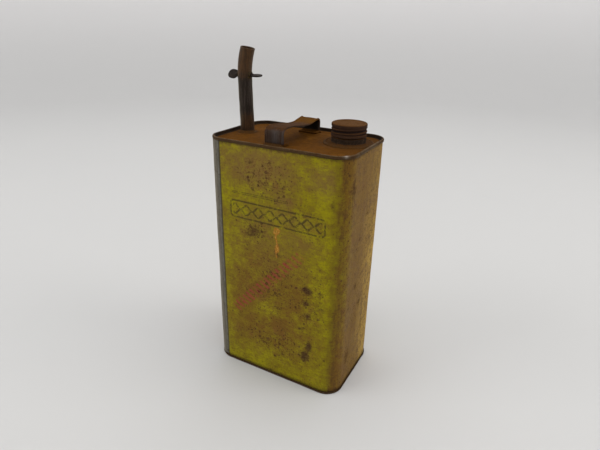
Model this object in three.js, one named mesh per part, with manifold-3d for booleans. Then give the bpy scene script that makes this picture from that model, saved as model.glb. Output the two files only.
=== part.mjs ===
// Oblong one-gallon tin can with a strap handle, a screw-capped filler and a bent pouring spout
// that has a small butterfly tap. Millimetres, +Z up, standing on Z = 0.
// +X runs along the wide face, -Y is the front face. The origin is under the middle of the
// whole object's box, so the can itself stands a little to +X of it.

import * as THREE from 'three';
import { mergeVertices } from 'three/addons/utils/BufferGeometryUtils.js';
import loadManifold from 'manifold-3d';

const wasm = await loadManifold();
wasm.setup();

// ---- Driving dimensions ----

const GAP = 0.3;              // clearance between two pieces that meet
const LEAN_GAP = 0.4;         // the same round the spout, which leans through its hole
const SHEET = 0.7;            // sheet of the can, panels, neck and cap

const BODY_W = 164;           // outside of the body wall along X
const BODY_D = 106.7;         // outside of the body wall along Y
const CAN_H = 282.6;          // height over both seams
const CORNER_R = 19.3;        // vertical corners of the body wall
const ARC_STEPS = 9;          // facets in each vertical corner

const SEAM_H = 3.2;           // height of the double seams on the outside
const SEAM_TOP_ROUND = 0.5;   // rounding of the seam's free edge
const PANEL_RECESS = 3.5;     // depth of the end panels below the seam edge
const WALL_END_GAP = 1.7;     // from a seam's free edge to the end of the body wall
const SEAL_T = 0.4;           // sealing compound in a seam

const FILLER_X = 52;          // filler axis, from the can's centre
const FILLER_Y = 14.5;
const NECK_FLANGE_R = 24.5;
const NECK_COLLAR_R = 18.2;
const NECK_COLLAR_TOP = 286.3;
const NECK_TOP = 296.1;
const NECK_R = 16.45;         // neck outside, at the root of its thread
const THREAD_PITCH = 4;
const THREAD_DEPTH = 1.1;     // rolled into the sheet, right-handed
const THREAD_STEPS = 4.5;     // facets up each pitch
const FILLER_FACETS = 36;
const FILLER_HOLE_R = 17.2;   // hole in the top panel

const CAP_R = 18.6;
const CAP_H = 13.5;
const CAP_BOTTOM = 286.9;
const CAP_DISH = 0.5;         // depth of the cap's top inside its raised rim
const WAD_R = 17.2;
const WAD_T = 1.8;
const FOIL_R = 17;
const FOIL_T = 0.4;

const SPOUT_X = -65.3;        // spout axis where it meets the top panel
const SPOUT_R = 7.8;
const SPOUT_WALL = 0.9;
const SPOUT_INSIDE = 4.6;     // how far the tube reaches below the panel
const SPOUT_LEAN = 1.9;       // degrees, towards -X
const SPOUT_STRAIGHT = 59;    // above the panel
const BEND_R = 95;
const BEND_ANGLE = 18.5;      // degrees
const BEND_TURN = 15;         // degrees from +X towards +Y, the way the mouth leans
const SPOUT_FACETS = 28;
const SPOUT_STEPS = 16;

const TAP_HEIGHT = 61.5;      // spindle above the top panel
const ROD_R = 1.7;
const ROD_HALF = 12;
const ROD_HOLE_R = 2.05;
const BUSH_R = 3.1;
const BUSH_REACH = 9;         // outer end of a bush, from the tube's axis
const EAR_TIP = 21.7;         // tip of an ear, from the tube's axis
const EAR_ROOT = 9.6;
const EAR_HALF_W = 5;
const EAR_T = 2;
const EAR_TWIST = 50;         // degrees that the left ear is twisted out of flat
const EAR_SKEW = 8;           // degrees that the left ear is bent in its own plane
const DISC_R = 6.45;
const DISC_T = 0.8;
const RIVET_OFFSET = 3.2;
const RIVET_R = 0.6;
const RIVET_HOLE_R = 0.95;
const RIVET_HEAD_R = 1.3;
const RIVET_HEAD_T = 0.5;

const STRAP_X = -5.5;         // middle of the strap handle
const STRAP_W = 22.3;
const STRAP_WEB_T = 0.9;
const STRAP_HEM_T = 2;        // folded edges
const STRAP_HEM_W = 2.4;
const STRAP_LEG_Y = 40.5;     // middle surface of each leg, front and back
const STRAP_FOOT = 10;        // length of each foot, turned inwards
const STRAP_FRONT_Z = 297;
const STRAP_REAR_Z = 295.4;

const SIDE_SEAM_START = 22;   // degrees round the left front corner, from the front face
const SIDE_SEAM_END = 50;
const SIDE_SEAM_T = 0.5;

// ---- Derived places ----

const rad = THREE.MathUtils.degToRad;
const PANEL_TOP = CAN_H - PANEL_RECESS;
const onPanel = PANEL_TOP + GAP;      // underside of whatever stands on the top panel
const seamOut = GAP + SHEET;          // outside of the seams, from the body wall

/** Middle of the tap spindle, on the spout's axis. */
const tap = new THREE.Vector3(
  SPOUT_X - TAP_HEIGHT * Math.tan(rad(SPOUT_LEAN)),
  0,
  PANEL_TOP + TAP_HEIGHT,
);

/** The object reaches from the left ear's tip to the right end of the seams. */
const objectCentreX = (BODY_W / 2 + seamOut + tap.x - EAR_TIP) / 2;

// ---- Helpers ----

/** Closed, welded, outward-facing triangles of a three.js geometry. */
function welded(geometry) {
  const loose = geometry.index ? geometry.toNonIndexed() : geometry.clone();
  loose.deleteAttribute('normal');
  loose.deleteAttribute('uv');
  const joined = mergeVertices(loose, 1e-4);
  const position = joined.attributes.position;
  const corners = [0, 1, 2].map(() => new THREE.Vector3());
  const kept = [];
  let volume = 0;
  for (let i = 0; i < joined.index.count; i += 3) {
    const ids = [0, 1, 2].map((k) => joined.index.getX(i + k));
    if (new Set(ids).size < 3) continue;
    corners.forEach((corner, k) => corner.fromBufferAttribute(position, ids[k]));
    volume += corners[0].dot(corners[1].clone().cross(corners[2])) / 6;
    kept.push(...ids);
  }
  if (volume < 0) kept.reverse();
  joined.setIndex(kept);
  return joined;
}

/** A manifold solid from a closed three.js geometry. */
function solid(geometry) {
  const closed = welded(geometry);
  return new wasm.Manifold(new wasm.Mesh({
    numProp: 3,
    vertProperties: new Float32Array(closed.attributes.position.array),
    triVerts: new Uint32Array(closed.index.array),
  }));
}

/** A three.js geometry from a manifold solid. */
function geometryOf(manifold) {
  const mesh = manifold.getMesh();
  const geometry = new THREE.BufferGeometry();
  geometry.setAttribute('position', new THREE.BufferAttribute(mesh.vertProperties, 3));
  geometry.setIndex(Array.from(mesh.triVerts));
  return geometry;
}

/** Outline of the body wall, counter-clockwise, moved outwards by an offset. */
function outline(offset) {
  const points = [];
  const centreX = BODY_W / 2 - CORNER_R;
  const centreY = BODY_D / 2 - CORNER_R;
  const radius = CORNER_R + offset;
  for (let corner = 0; corner < 4; corner += 1) {
    const signX = corner === 0 || corner === 3 ? 1 : -1;
    const signY = corner < 2 ? 1 : -1;
    for (let step = 0; step <= ARC_STEPS; step += 1) {
      const angle = (corner + step / ARC_STEPS) * Math.PI / 2;
      points.push(new THREE.Vector2(
        signX * centreX + radius * Math.cos(angle),
        signY * centreY + radius * Math.sin(angle),
      ));
    }
  }
  return points;
}

/** A flat-sided prism of a 2D shape, from one height to another. */
function prism(shape, low, high) {
  const geometry = new THREE.ExtrudeGeometry(shape, { depth: high - low, bevelEnabled: false });
  return geometry.translate(0, 0, low);
}

/** A prism between two offsets of the body outline. */
function wallRing(outer, inner, low, high) {
  const shape = new THREE.Shape(outline(outer));
  shape.holes.push(new THREE.Path(outline(inner)));
  return prism(shape, low, high);
}

/** A closed profile of [offset, z] points carried once round the body outline. */
function carriedRing(profile) {
  const rings = profile.map(([offset, z]) => outline(offset).map((p) => [p.x, p.y, z]));
  const count = rings[0].length;
  const index = [];
  rings.forEach((_, i) => {
    const next = (i + 1) % rings.length;
    for (let j = 0; j < count; j += 1) {
      const k = (j + 1) % count;
      index.push(i * count + j, i * count + k, next * count + k);
      index.push(i * count + j, next * count + k, next * count + j);
    }
  });
  const geometry = new THREE.BufferGeometry();
  geometry.setAttribute('position', new THREE.Float32BufferAttribute(rings.flat(2), 3));
  geometry.setIndex(index);
  return geometry;
}

/** A solid of revolution about a vertical axis through (x, y), from [radius, z] points. */
function turned(profile, x, y, facets) {
  const points = profile.map(([radius, z]) => new THREE.Vector2(radius, z));
  if (profile[0][0] > 0) points.push(points[0].clone());
  const geometry = new THREE.LatheGeometry(points, facets);
  return welded(geometry.rotateX(Math.PI / 2).translate(x, y, 0));
}

/** A prism of a shape drawn in Y and Z, between two places along X. */
function prismAlongX(shape, from, to) {
  const geometry = new THREE.ExtrudeGeometry(shape, {
    depth: to - from, bevelEnabled: false, curveSegments: 4,
  });
  const sideways = new THREE.Matrix4().makeBasis(
    new THREE.Vector3(0, 1, 0),
    new THREE.Vector3(0, 0, 1),
    new THREE.Vector3(1, 0, 0),
  );
  return geometry.applyMatrix4(sideways).translate(from, 0, 0);
}

/** A round bar along X through a point. */
function barAlongX(radius, from, to, centre, facets = 24) {
  const geometry = new THREE.CylinderGeometry(radius, radius, to - from, facets);
  geometry.rotateZ(Math.PI / 2);
  return geometry.translate(centre.x + (from + to) / 2, centre.y, centre.z);
}

/** A round bar along Z through a point. */
function barAlongZ(radius, low, high, x, y, facets = 24) {
  const geometry = new THREE.CylinderGeometry(radius, radius, high - low, facets);
  geometry.rotateX(Math.PI / 2);
  return geometry.translate(x, y, (low + high) / 2);
}

const root = new THREE.Group();
root.position.x = -objectCentreX;

/** Adds one named piece to the object. */
function piece(name, geometry, color, roughness, metalness) {
  const material = new THREE.MeshStandardMaterial({ color, roughness, metalness });
  const mesh = new THREE.Mesh(welded(geometry), material);
  mesh.name = name;
  root.add(mesh);
  return mesh;
}

// ---- Can body ----

const bodyWall = wallRing(0, -SHEET, WALL_END_GAP, CAN_H - WALL_END_GAP);
piece('body_shell', bodyWall, 0x7d7a1c, 0.55, 0.3);

/** The soldered lap of the body sheet, a strip up the left front corner. */
function sideSeam() {
  const centre = new THREE.Vector2(-(BODY_W / 2 - CORNER_R), -(BODY_D / 2 - CORNER_R));
  const inner = CORNER_R + GAP;
  const start = rad(-90 - SIDE_SEAM_START);
  const end = rad(-90 - SIDE_SEAM_END);
  const shape = new THREE.Shape();
  shape.absarc(centre.x, centre.y, inner + SIDE_SEAM_T, start, end, true);
  shape.absarc(centre.x, centre.y, inner, end, start, false);
  shape.closePath();
  const low = SEAM_H + GAP;
  const geometry = new THREE.ExtrudeGeometry(shape, {
    depth: CAN_H - 2 * low, bevelEnabled: false, curveSegments: 6,
  });
  return geometry.translate(0, 0, low);
}

piece('side_seam', sideSeam(), 0x6d675c, 0.5, 0.7);

/** Section of a double seam, with its free edge at z = 0 and the can below it. */
function seamSection() {
  const riserIn = -(2 * SHEET + GAP);
  const riserOut = -(SHEET + GAP);
  const under = -(PANEL_RECESS + SHEET);
  const section = new THREE.Shape();
  section.moveTo(seamOut, -SEAM_H + SEAM_TOP_ROUND);
  section.lineTo(seamOut, -SEAM_TOP_ROUND);
  section.absarc(seamOut - SEAM_TOP_ROUND, -SEAM_TOP_ROUND, SEAM_TOP_ROUND, 0, Math.PI / 2);
  section.absarc(riserIn + SEAM_TOP_ROUND, -SEAM_TOP_ROUND, SEAM_TOP_ROUND, Math.PI / 2, Math.PI);
  section.lineTo(riserIn, under);
  section.lineTo(riserOut, under);
  section.lineTo(riserOut, -SHEET);
  section.lineTo(GAP, -SHEET);
  section.lineTo(GAP, -SEAM_H);
  section.lineTo(seamOut - SEAM_TOP_ROUND, -SEAM_H);
  return section.getPoints(2);
}

/** An end panel: a recessed plate whose edge is folded over the body wall. */
function endPanel(isTop, holes) {
  const flip = isTop ? 1 : -1;
  const edge = isTop ? CAN_H : 0;
  const seam = carriedRing(seamSection().map((p) => [p.x, edge + flip * p.y]));
  const plateShape = new THREE.Shape(outline(-(1.5 * SHEET + GAP)));
  for (const { x, y, radius } of holes) {
    const hole = new THREE.Path();
    hole.absarc(x, y, radius, 0, 2 * Math.PI);
    plateShape.holes.push(hole);
  }
  const faces = [edge - flip * PANEL_RECESS, edge - flip * (PANEL_RECESS + SHEET)];
  const plate = new THREE.ExtrudeGeometry(plateShape, {
    depth: SHEET, bevelEnabled: false, curveSegments: 20,
  });
  plate.translate(0, 0, Math.min(...faces));
  return geometryOf(solid(seam).add(solid(plate)));
}

const fillerHole = { x: FILLER_X, y: FILLER_Y, radius: FILLER_HOLE_R };
const spoutHole = { x: SPOUT_X, y: 0, radius: SPOUT_R + LEAN_GAP };
piece('top_panel', endPanel(true, [fillerHole, spoutHole]), 0x6a3f1c, 0.85, 0.2);
piece('bottom_panel', endPanel(false, []), 0x4b3524, 0.8, 0.3);

/** Sealing compound between the end of the body wall and the fold of the seam. */
function seamSeal(low) {
  return wallRing(0, -SHEET, low, low + SEAL_T);
}

const sealFromEdge = SHEET + GAP;
piece('top_seam_gasket', seamSeal(CAN_H - sealFromEdge - SEAL_T), 0x2b2a28, 0.9, 0);
piece('bottom_seam_gasket', seamSeal(sealFromEdge), 0x2b2a28, 0.9, 0);

// ---- Filler neck ----

/** Rises smoothly from 0 to 1 as z goes from one height to another. */
function fade(z, from, to) {
  return THREE.MathUtils.smoothstep((z - from) / (to - from), 0, 1);
}

/** 0 to 1 across one pitch of a right-handed thread, 1 on its crest. */
function threadWave(x, y, z) {
  const turn = Math.atan2(y, x);
  return 0.5 + 0.5 * Math.cos(2 * Math.PI * z / THREAD_PITCH - turn);
}

/** Rolls a thread into a turned sheet: shift(wave, z) is how far a point moves outwards. */
function rollThread(geometry, shift) {
  const position = geometry.attributes.position;
  const point = new THREE.Vector3();
  for (let i = 0; i < position.count; i += 1) {
    point.fromBufferAttribute(position, i);
    const x = point.x - FILLER_X;
    const y = point.y - FILLER_Y;
    const radius = Math.hypot(x, y);
    if (radius < NECK_R / 2) continue;
    const scale = (radius + shift(threadWave(x, y, point.z), point.z)) / radius;
    position.setXYZ(i, FILLER_X + x * scale, FILLER_Y + y * scale, point.z);
  }
  return geometry;
}

/** [radius, z] points up a straight wall, close enough to follow the thread. */
function threadedWall(radius, low, high) {
  const steps = Math.ceil((high - low) / (THREAD_PITCH / THREAD_STEPS));
  return Array.from({ length: steps + 1 }, (_, i) => [radius, low + (high - low) * i / steps]);
}

const neckThread = { low: NECK_COLLAR_TOP + 1.4, high: NECK_TOP - 0.8 };

/** The neck: a flange, a wide collar, and a narrower threaded mouth, drawn from one sheet. */
function fillerNeck() {
  const flangeTop = onPanel + SHEET;
  const bore = NECK_R - SHEET;
  const profile = [
    [NECK_COLLAR_R - SHEET, onPanel],
    [NECK_FLANGE_R, onPanel],
    [NECK_FLANGE_R, flangeTop],
    [NECK_COLLAR_R + 0.9, flangeTop],
    [NECK_COLLAR_R + 0.2, flangeTop + 0.4],
    [NECK_COLLAR_R, flangeTop + 1.1],
    [NECK_COLLAR_R, NECK_COLLAR_TOP - 0.9],
    [NECK_COLLAR_R - 0.4, NECK_COLLAR_TOP - 0.2],
    [NECK_COLLAR_R - 1, NECK_COLLAR_TOP],
    [NECK_R, NECK_COLLAR_TOP],
    ...threadedWall(NECK_R, neckThread.low, neckThread.high),
    [NECK_R, NECK_TOP - 0.25],
    [NECK_R - 0.2, NECK_TOP],
    [bore + 0.2, NECK_TOP],
    [bore, NECK_TOP - 0.25],
    ...threadedWall(bore, neckThread.low, neckThread.high).reverse(),
    [bore, NECK_COLLAR_TOP - SHEET],
    [NECK_COLLAR_R - SHEET, NECK_COLLAR_TOP - 1.6],
  ];
  const sheet = turned(profile, FILLER_X, FILLER_Y, FILLER_FACETS);
  return rollThread(sheet, (wave, z) => {
    const rise = fade(z, neckThread.low, neckThread.low + THREAD_PITCH / 2);
    const fall = fade(z, neckThread.high, neckThread.high - THREAD_PITCH / 2);
    return THREAD_DEPTH * wave * Math.min(rise, fall);
  });
}

piece('filler_neck', fillerNeck(), 0x3a2a1f, 0.6, 0.5);

const neckSolder = [
  [NECK_FLANGE_R + GAP, onPanel],
  [NECK_FLANGE_R + 2.2, onPanel],
  [NECK_FLANGE_R + 1.5, onPanel + 0.5],
  [NECK_FLANGE_R + 0.7, onPanel + 0.9],
  [NECK_FLANGE_R + GAP, onPanel + 0.9],
];
const neckSolderRing = turned(neckSolder, FILLER_X, FILLER_Y, FILLER_FACETS);
piece('filler_neck_solder', neckSolderRing, 0x7d7468, 0.45, 0.8);

// ---- Screw cap ----

const capTop = CAP_BOTTOM + CAP_H;
const capUnder = capTop - CAP_DISH - SHEET;
const capThread = { low: CAP_BOTTOM + 1.9, high: capTop - 3 };

/** The cap: a pressed top with a raised rim, and a skirt with the thread rolled into it. */
function fillerCap() {
  const inside = CAP_R - SHEET;
  const shoulder = 1.1;
  const rimFoot = CAP_R - 3.2;
  const rimCrest = CAP_R - 2.4;
  const bead = CAP_R + 0.3;
  const profile = [
    [0, capTop - CAP_DISH],
    [rimFoot, capTop - CAP_DISH],
    [rimCrest, capTop],
    [CAP_R - shoulder, capTop],
    [CAP_R - shoulder * 0.3, capTop - shoulder * 0.3],
    [CAP_R, capTop - shoulder],
    ...threadedWall(CAP_R, capThread.low, capThread.high).reverse(),
    [bead, CAP_BOTTOM + 1.3],
    [bead, CAP_BOTTOM + 0.4],
    [CAP_R, CAP_BOTTOM],
    [inside, CAP_BOTTOM],
    ...threadedWall(inside, capThread.low, capThread.high),
    [inside, capTop - shoulder - SHEET],
    [inside - shoulder * 0.6, capTop - SHEET],
    [rimCrest - SHEET / 2, capTop - SHEET],
    [rimFoot - SHEET / 2, capUnder],
    [0, capUnder],
  ];
  const sheet = turned(profile, FILLER_X, FILLER_Y, FILLER_FACETS);
  return rollThread(sheet, (wave, z) => {
    const rise = fade(z, capThread.low, capThread.low + THREAD_PITCH / 2);
    const fall = fade(z, capThread.high, capThread.high - THREAD_PITCH / 2);
    return THREAD_DEPTH * (wave - 1) * Math.min(rise, fall);
  });
}

piece('filler_cap', fillerCap(), 0x5a3a24, 0.65, 0.5);

/** A plain disc on the filler axis. */
function fillerDisc(radius, low, high) {
  return turned([[0, low], [radius, low], [radius, high], [0, high]], FILLER_X, FILLER_Y, 32);
}

const wadTop = capUnder - GAP;
const foilTop = wadTop - WAD_T - GAP;
const wad = fillerDisc(WAD_R, wadTop - WAD_T, wadTop);
const foil = fillerDisc(FOIL_R, foilTop - FOIL_T, foilTop);
piece('cap_wad', wad, 0xa07a4c, 0.9, 0);
piece('cap_wad_foil', foil, 0xb9b6ae, 0.3, 1);

// ---- Spout ----

/** Axis of the spout: straight with a slight lean, then one even bend. */
class SpoutAxis extends THREE.Curve {
  constructor(from) {
    super();
    this.from = from;
    this.to = SPOUT_STRAIGHT + BEND_R * rad(BEND_ANGLE);
  }

  getPoint(t, target = new THREE.Vector3()) {
    const along = THREE.MathUtils.lerp(this.from, this.to, t);
    const angle = Math.max(0, along - SPOUT_STRAIGHT) / BEND_R;
    const sideways = BEND_R * (1 - Math.cos(angle));
    const upwards = Math.min(along, SPOUT_STRAIGHT) + BEND_R * Math.sin(angle);
    const turn = rad(BEND_TURN);
    target.set(sideways * Math.cos(turn), sideways * Math.sin(turn), upwards);
    target.applyAxisAngle(new THREE.Vector3(0, 1, 0), -rad(SPOUT_LEAN));
    return target.add(new THREE.Vector3(SPOUT_X, 0, PANEL_TOP));
  }
}

/** The round bar that a spout wall of some radius would fill, along the spout's axis. */
function spoutBar(radius, hole) {
  const section = new THREE.Shape();
  section.absarc(0, 0, radius, 0, 2 * Math.PI);
  if (hole) {
    const bore = new THREE.Path();
    bore.absarc(0, 0, hole, 0, 2 * Math.PI);
    section.holes.push(bore);
  }
  return new THREE.ExtrudeGeometry(section, {
    extrudePath: new SpoutAxis(-SPOUT_INSIDE),
    steps: SPOUT_STEPS,
    curveSegments: SPOUT_FACETS / 2,
    bevelEnabled: false,
  });
}

const rodHole = solid(barAlongX(ROD_HOLE_R, -2 * SPOUT_R, 2 * SPOUT_R, tap));
const tube = solid(spoutBar(SPOUT_R, SPOUT_R - SPOUT_WALL)).subtract(rodHole);
piece('spout_tube', geometryOf(tube), 0x3d2a1e, 0.6, 0.5);

const spoutSolder = [
  [SPOUT_R + LEAN_GAP, onPanel],
  [SPOUT_R + 2.4, onPanel],
  [SPOUT_R + 1.4, onPanel + 0.5],
  [SPOUT_R + 0.7, onPanel + 1.8],
  [SPOUT_R + LEAN_GAP, onPanel + 1.8],
];
piece('spout_solder', turned(spoutSolder, SPOUT_X, 0, 32), 0x4a4038, 0.5, 0.7);

// ---- Butterfly tap ----

/** A short bush outside the tube wall, round the spindle; side is -1 or 1. */
function tapBush(side) {
  const ends = [side * (SPOUT_R - 3), side * BUSH_REACH].sort((a, b) => a - b);
  const bush = solid(barAlongX(BUSH_R, ...ends, tap));
  return geometryOf(bush.subtract(solid(spoutBar(SPOUT_R + GAP))).subtract(rodHole));
}

piece('tap_bush_left', tapBush(-1), 0x6b5a2c, 0.5, 0.8);
piece('tap_bush_right', tapBush(1), 0x6b5a2c, 0.5, 0.8);

/** A flattened ear at one end of the spindle; side is -1 or 1. */
function tapEar(side, twist, skew) {
  const middle = (EAR_TIP + EAR_ROOT) / 2;
  const lobe = new THREE.Shape();
  lobe.absellipse(0, 0, (EAR_TIP - EAR_ROOT) / 2, EAR_HALF_W, 0, 2 * Math.PI);
  const geometry = new THREE.ExtrudeGeometry(lobe, {
    depth: EAR_T / 2, bevelThickness: EAR_T / 4, bevelSize: EAR_T / 4, bevelOffset: -EAR_T / 4,
    bevelSegments: 2, curveSegments: 14,
  });
  geometry.translate(0, 0, -EAR_T / 4).rotateZ(rad(skew)).rotateX(rad(twist));
  return solid(geometry.translate(tap.x + side * middle, tap.y, tap.z));
}

/** A box of some size about a point. */
function boxAt(width, depth, height, x, y, z) {
  return solid(new THREE.BoxGeometry(width, depth, height).translate(x, y, z));
}

const discLow = -0.05;                    // disc's lower face, from the spindle's axis
const spindleFlat = discLow - GAP;        // the flat that carries the disc
const rivetPlaces = [-RIVET_OFFSET, RIVET_OFFSET].map((offset) => tap.x + offset);
const rivetHoles = rivetPlaces.map((x) => (
  solid(barAlongZ(RIVET_HOLE_R, tap.z - 2 * ROD_R, tap.z + 2 * ROD_R, x, tap.y, 16))
));

/** The spindle: a rod with a flat for the disc and a flattened ear at each end. */
function tapSpindle() {
  const cutHeight = 2 * ROD_R;
  const cut = boxAt(2 * DISC_R + 1, 3 * ROD_R, cutHeight, tap.x, tap.y,
    tap.z + spindleFlat + cutHeight / 2);
  let spindle = solid(barAlongX(ROD_R, -ROD_HALF, ROD_HALF, tap)).subtract(cut);
  spindle = spindle.add(tapEar(-1, EAR_TWIST, -EAR_SKEW)).add(tapEar(1, 0, 0));
  return rivetHoles.reduce((part, hole) => part.subtract(hole), spindle);
}

piece('tap_spindle', geometryOf(tapSpindle()), 0x2f2b28, 0.5, 0.7);

const discAt = tap.z + discLow;
const discBlank = solid(barAlongZ(DISC_R, discAt, discAt + DISC_T, tap.x, tap.y, 32));
const disc = rivetHoles.reduce((part, hole) => part.subtract(hole), discBlank);
piece('tap_disc', geometryOf(disc), 0x8a7a45, 0.5, 0.8);

/** A rivet through the disc and the spindle. */
function discRivet(x) {
  const headLow = discAt + DISC_T + GAP;
  const tailTop = tap.z - ROD_R - GAP;
  return turned([
    [0, tailTop - RIVET_HEAD_T],
    [RIVET_HEAD_R * 0.7, tailTop - RIVET_HEAD_T],
    [RIVET_HEAD_R, tailTop],
    [RIVET_R, tailTop],
    [RIVET_R, headLow],
    [RIVET_HEAD_R, headLow],
    [RIVET_HEAD_R * 0.7, headLow + RIVET_HEAD_T],
    [0, headLow + RIVET_HEAD_T],
  ], x, tap.y, 16);
}

rivetPlaces.forEach((x, i) => {
  piece(`tap_disc_rivet_${i + 1}`, discRivet(x), 0x9a8a55, 0.45, 0.9);
});

// ---- Strap handle ----

/** The strap sags behind its front bend and rises again to the rear one: [y, z] places. */
const STRAP_SAG = [[-22, 296.8], [-8, 294.9], [6, 293.1], [17, 292.7], [26, 293.9]];

/** Side view of the strap's middle surface, in Y and Z, from the front foot to the rear foot. */
function strapLine() {
  const footZ = onPanel + STRAP_HEM_T / 2;
  const heel = 2;
  const frontBend = 6.5;
  const rearBend = 4.5;
  const y = STRAP_LEG_Y;
  const line = new THREE.Path();
  line.moveTo(-y + STRAP_FOOT, footZ);
  line.absarc(-y + heel, footZ + heel, heel, -Math.PI / 2, -Math.PI, true);
  line.absarc(-y + frontBend, STRAP_FRONT_Z - frontBend, frontBend, Math.PI, Math.PI / 2, true);
  const places = [...STRAP_SAG, [y - rearBend, STRAP_REAR_Z]];
  line.splineThru(places.map((place) => new THREE.Vector2(...place)));
  line.absarc(y - rearBend, STRAP_REAR_Z - rearBend, rearBend, Math.PI / 2, 0, true);
  line.absarc(y - heel, footZ + heel, heel, 0, -Math.PI / 2, true);
  line.lineTo(y - STRAP_FOOT, footZ);
  return line.getPoints(4);
}

/** A band of even thickness along a side view, between two places along X. */
function band(line, thickness, from, to) {
  const left = [];
  const right = [];
  line.forEach((point, i) => {
    const ahead = line[Math.min(i + 1, line.length - 1)];
    const behind = line[Math.max(i - 1, 0)];
    const along = ahead.clone().sub(behind).normalize().multiplyScalar(thickness / 2);
    left.push(new THREE.Vector2(point.x - along.y, point.y + along.x));
    right.push(new THREE.Vector2(point.x + along.y, point.y - along.x));
  });
  return prismAlongX(new THREE.Shape([...left, ...right.reverse()]), from, to);
}

/** Drops points that repeat the one before them. */
function withoutRepeats(line) {
  return line.filter((point, i) => i === 0 || point.distanceTo(line[i - 1]) > 0.01);
}

/** The strap: a thin web with a folded hem along each edge. */
function handleStrap() {
  const line = withoutRepeats(strapLine());
  const low = STRAP_X - STRAP_W / 2;
  const high = STRAP_X + STRAP_W / 2;
  const web = solid(band(line, STRAP_WEB_T, low + STRAP_HEM_W / 2, high - STRAP_HEM_W / 2));
  const lowHem = solid(band(line, STRAP_HEM_T, low, low + STRAP_HEM_W));
  const highHem = solid(band(line, STRAP_HEM_T, high - STRAP_HEM_W, high));
  return geometryOf(web.add(lowHem).add(highHem));
}

piece('handle_strap', handleStrap(), 0x4a2c20, 0.7, 0.4);

/** Solder run along the outside of a leg; side is -1 for the front, 1 for the rear. */
function legSolder(side) {
  const near = STRAP_LEG_Y + STRAP_HEM_T / 2 + GAP + 0.1;
  const reach = 2.7;
  const height = 2.2;
  const fillet = new THREE.Shape();
  fillet.moveTo(side * near, onPanel);
  fillet.lineTo(side * (near + reach), onPanel);
  fillet.quadraticCurveTo(side * (near + 0.6), onPanel + 0.5, side * near, onPanel + height);
  fillet.closePath();
  const halfLength = STRAP_W / 2 + 0.8;
  return prismAlongX(fillet, STRAP_X - halfLength, STRAP_X + halfLength);
}

piece('handle_front_solder', legSolder(-1), 0x6e665c, 0.5, 0.8);
piece('handle_rear_solder', legSolder(1), 0x6e665c, 0.5, 0.8);

export default root;
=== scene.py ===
"""Looks of a rusted oblong oil can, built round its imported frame. Metres, in the frame's axes."""
from math import copysign, cos, hypot, pi, radians, sin

import bmesh
import bpy
import numpy as np
from mathutils import Matrix, Vector, noise
from mathutils.geometry import delaunay_2d_cdt


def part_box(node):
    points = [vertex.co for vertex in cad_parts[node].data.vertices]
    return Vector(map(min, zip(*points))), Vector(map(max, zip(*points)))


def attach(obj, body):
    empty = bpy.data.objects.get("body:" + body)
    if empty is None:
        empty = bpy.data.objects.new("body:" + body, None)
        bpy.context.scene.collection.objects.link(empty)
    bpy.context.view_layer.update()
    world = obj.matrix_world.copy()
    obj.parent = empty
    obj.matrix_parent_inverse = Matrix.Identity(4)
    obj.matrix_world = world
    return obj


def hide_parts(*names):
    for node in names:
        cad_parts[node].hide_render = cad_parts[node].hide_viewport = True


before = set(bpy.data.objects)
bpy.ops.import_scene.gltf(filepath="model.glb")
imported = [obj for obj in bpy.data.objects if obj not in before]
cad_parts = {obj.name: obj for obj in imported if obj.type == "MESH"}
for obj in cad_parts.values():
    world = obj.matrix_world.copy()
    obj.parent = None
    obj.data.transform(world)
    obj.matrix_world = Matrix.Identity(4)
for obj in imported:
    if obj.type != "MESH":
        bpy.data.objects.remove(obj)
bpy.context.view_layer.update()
MM = 0.001

# ---- Places, all from the frame ----

wall_lo, wall_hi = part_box("body_shell")
CX, CY = (wall_lo.x + wall_hi.x) / 2, (wall_lo.y + wall_hi.y) / 2
HALF_W, HALF_D = (wall_hi.x - wall_lo.x) / 2, (wall_hi.y - wall_lo.y) / 2
WALL_LOW, WALL_HIGH = wall_lo.z, wall_hi.z
CAN_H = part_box("top_panel")[1].z
CORNER_R = 19.3 * MM
RECESS = 3.5 * MM
PLATE_TOP = CAN_H - RECESS
SHEET = 0.7 * MM
neck_lo, neck_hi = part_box("filler_neck")
ON_PLATE = neck_lo.z

cap_lo, cap_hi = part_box("filler_cap")
FILLER = Vector(((cap_lo.x + cap_hi.x) / 2, (cap_lo.y + cap_hi.y) / 2, 0))
CAP_LOW, CAP_TOP = cap_lo.z, cap_hi.z
CAP_R = 18.6 * MM
NECK_TOP = neck_hi.z
NECK_R = 16.45 * MM
COLLAR_R = 18.2 * MM
COLLAR_TOP = 286.3 * MM
FLANGE_R = (neck_hi.x - neck_lo.x) / 2
PITCH = 4 * MM
THREAD = 1.1 * MM

solder_lo, solder_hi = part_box("spout_solder")
SPOUT_X = (solder_lo.x + solder_hi.x) / 2
SPOUT_R, SPOUT_BORE = 7.8 * MM, 6.9 * MM
SPOUT_INSIDE = 4.6 * MM
SPOUT_LEAN = radians(1.9)
SPOUT_STRAIGHT = 59 * MM
BEND_R, BEND_ANGLE, BEND_TURN = 95 * MM, radians(18.5), radians(15)

bush_lo, bush_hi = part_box("tap_bush_right")
disc_lo, disc_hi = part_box("tap_disc")
TAP = Vector(((disc_lo.x + disc_hi.x) / 2, 0, (bush_lo.z + bush_hi.z) / 2))
EAR_ROOT, EAR_TIP, EAR_HALF_T = 8.6 * MM, 21.7 * MM, 1 * MM

strap_lo, strap_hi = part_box("handle_strap")
STRAP_X = (strap_lo.x + strap_hi.x) / 2
STRAP_HALF_W = (strap_hi.x - strap_lo.x) / 2
STRAP_Y = 40.5 * MM
STRAP_SAG = [(-22, 296.8), (-8, 294.9), (6, 293.1), (17, 292.7), (26, 293.9)]


# ---- Mesh helpers ----

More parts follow.
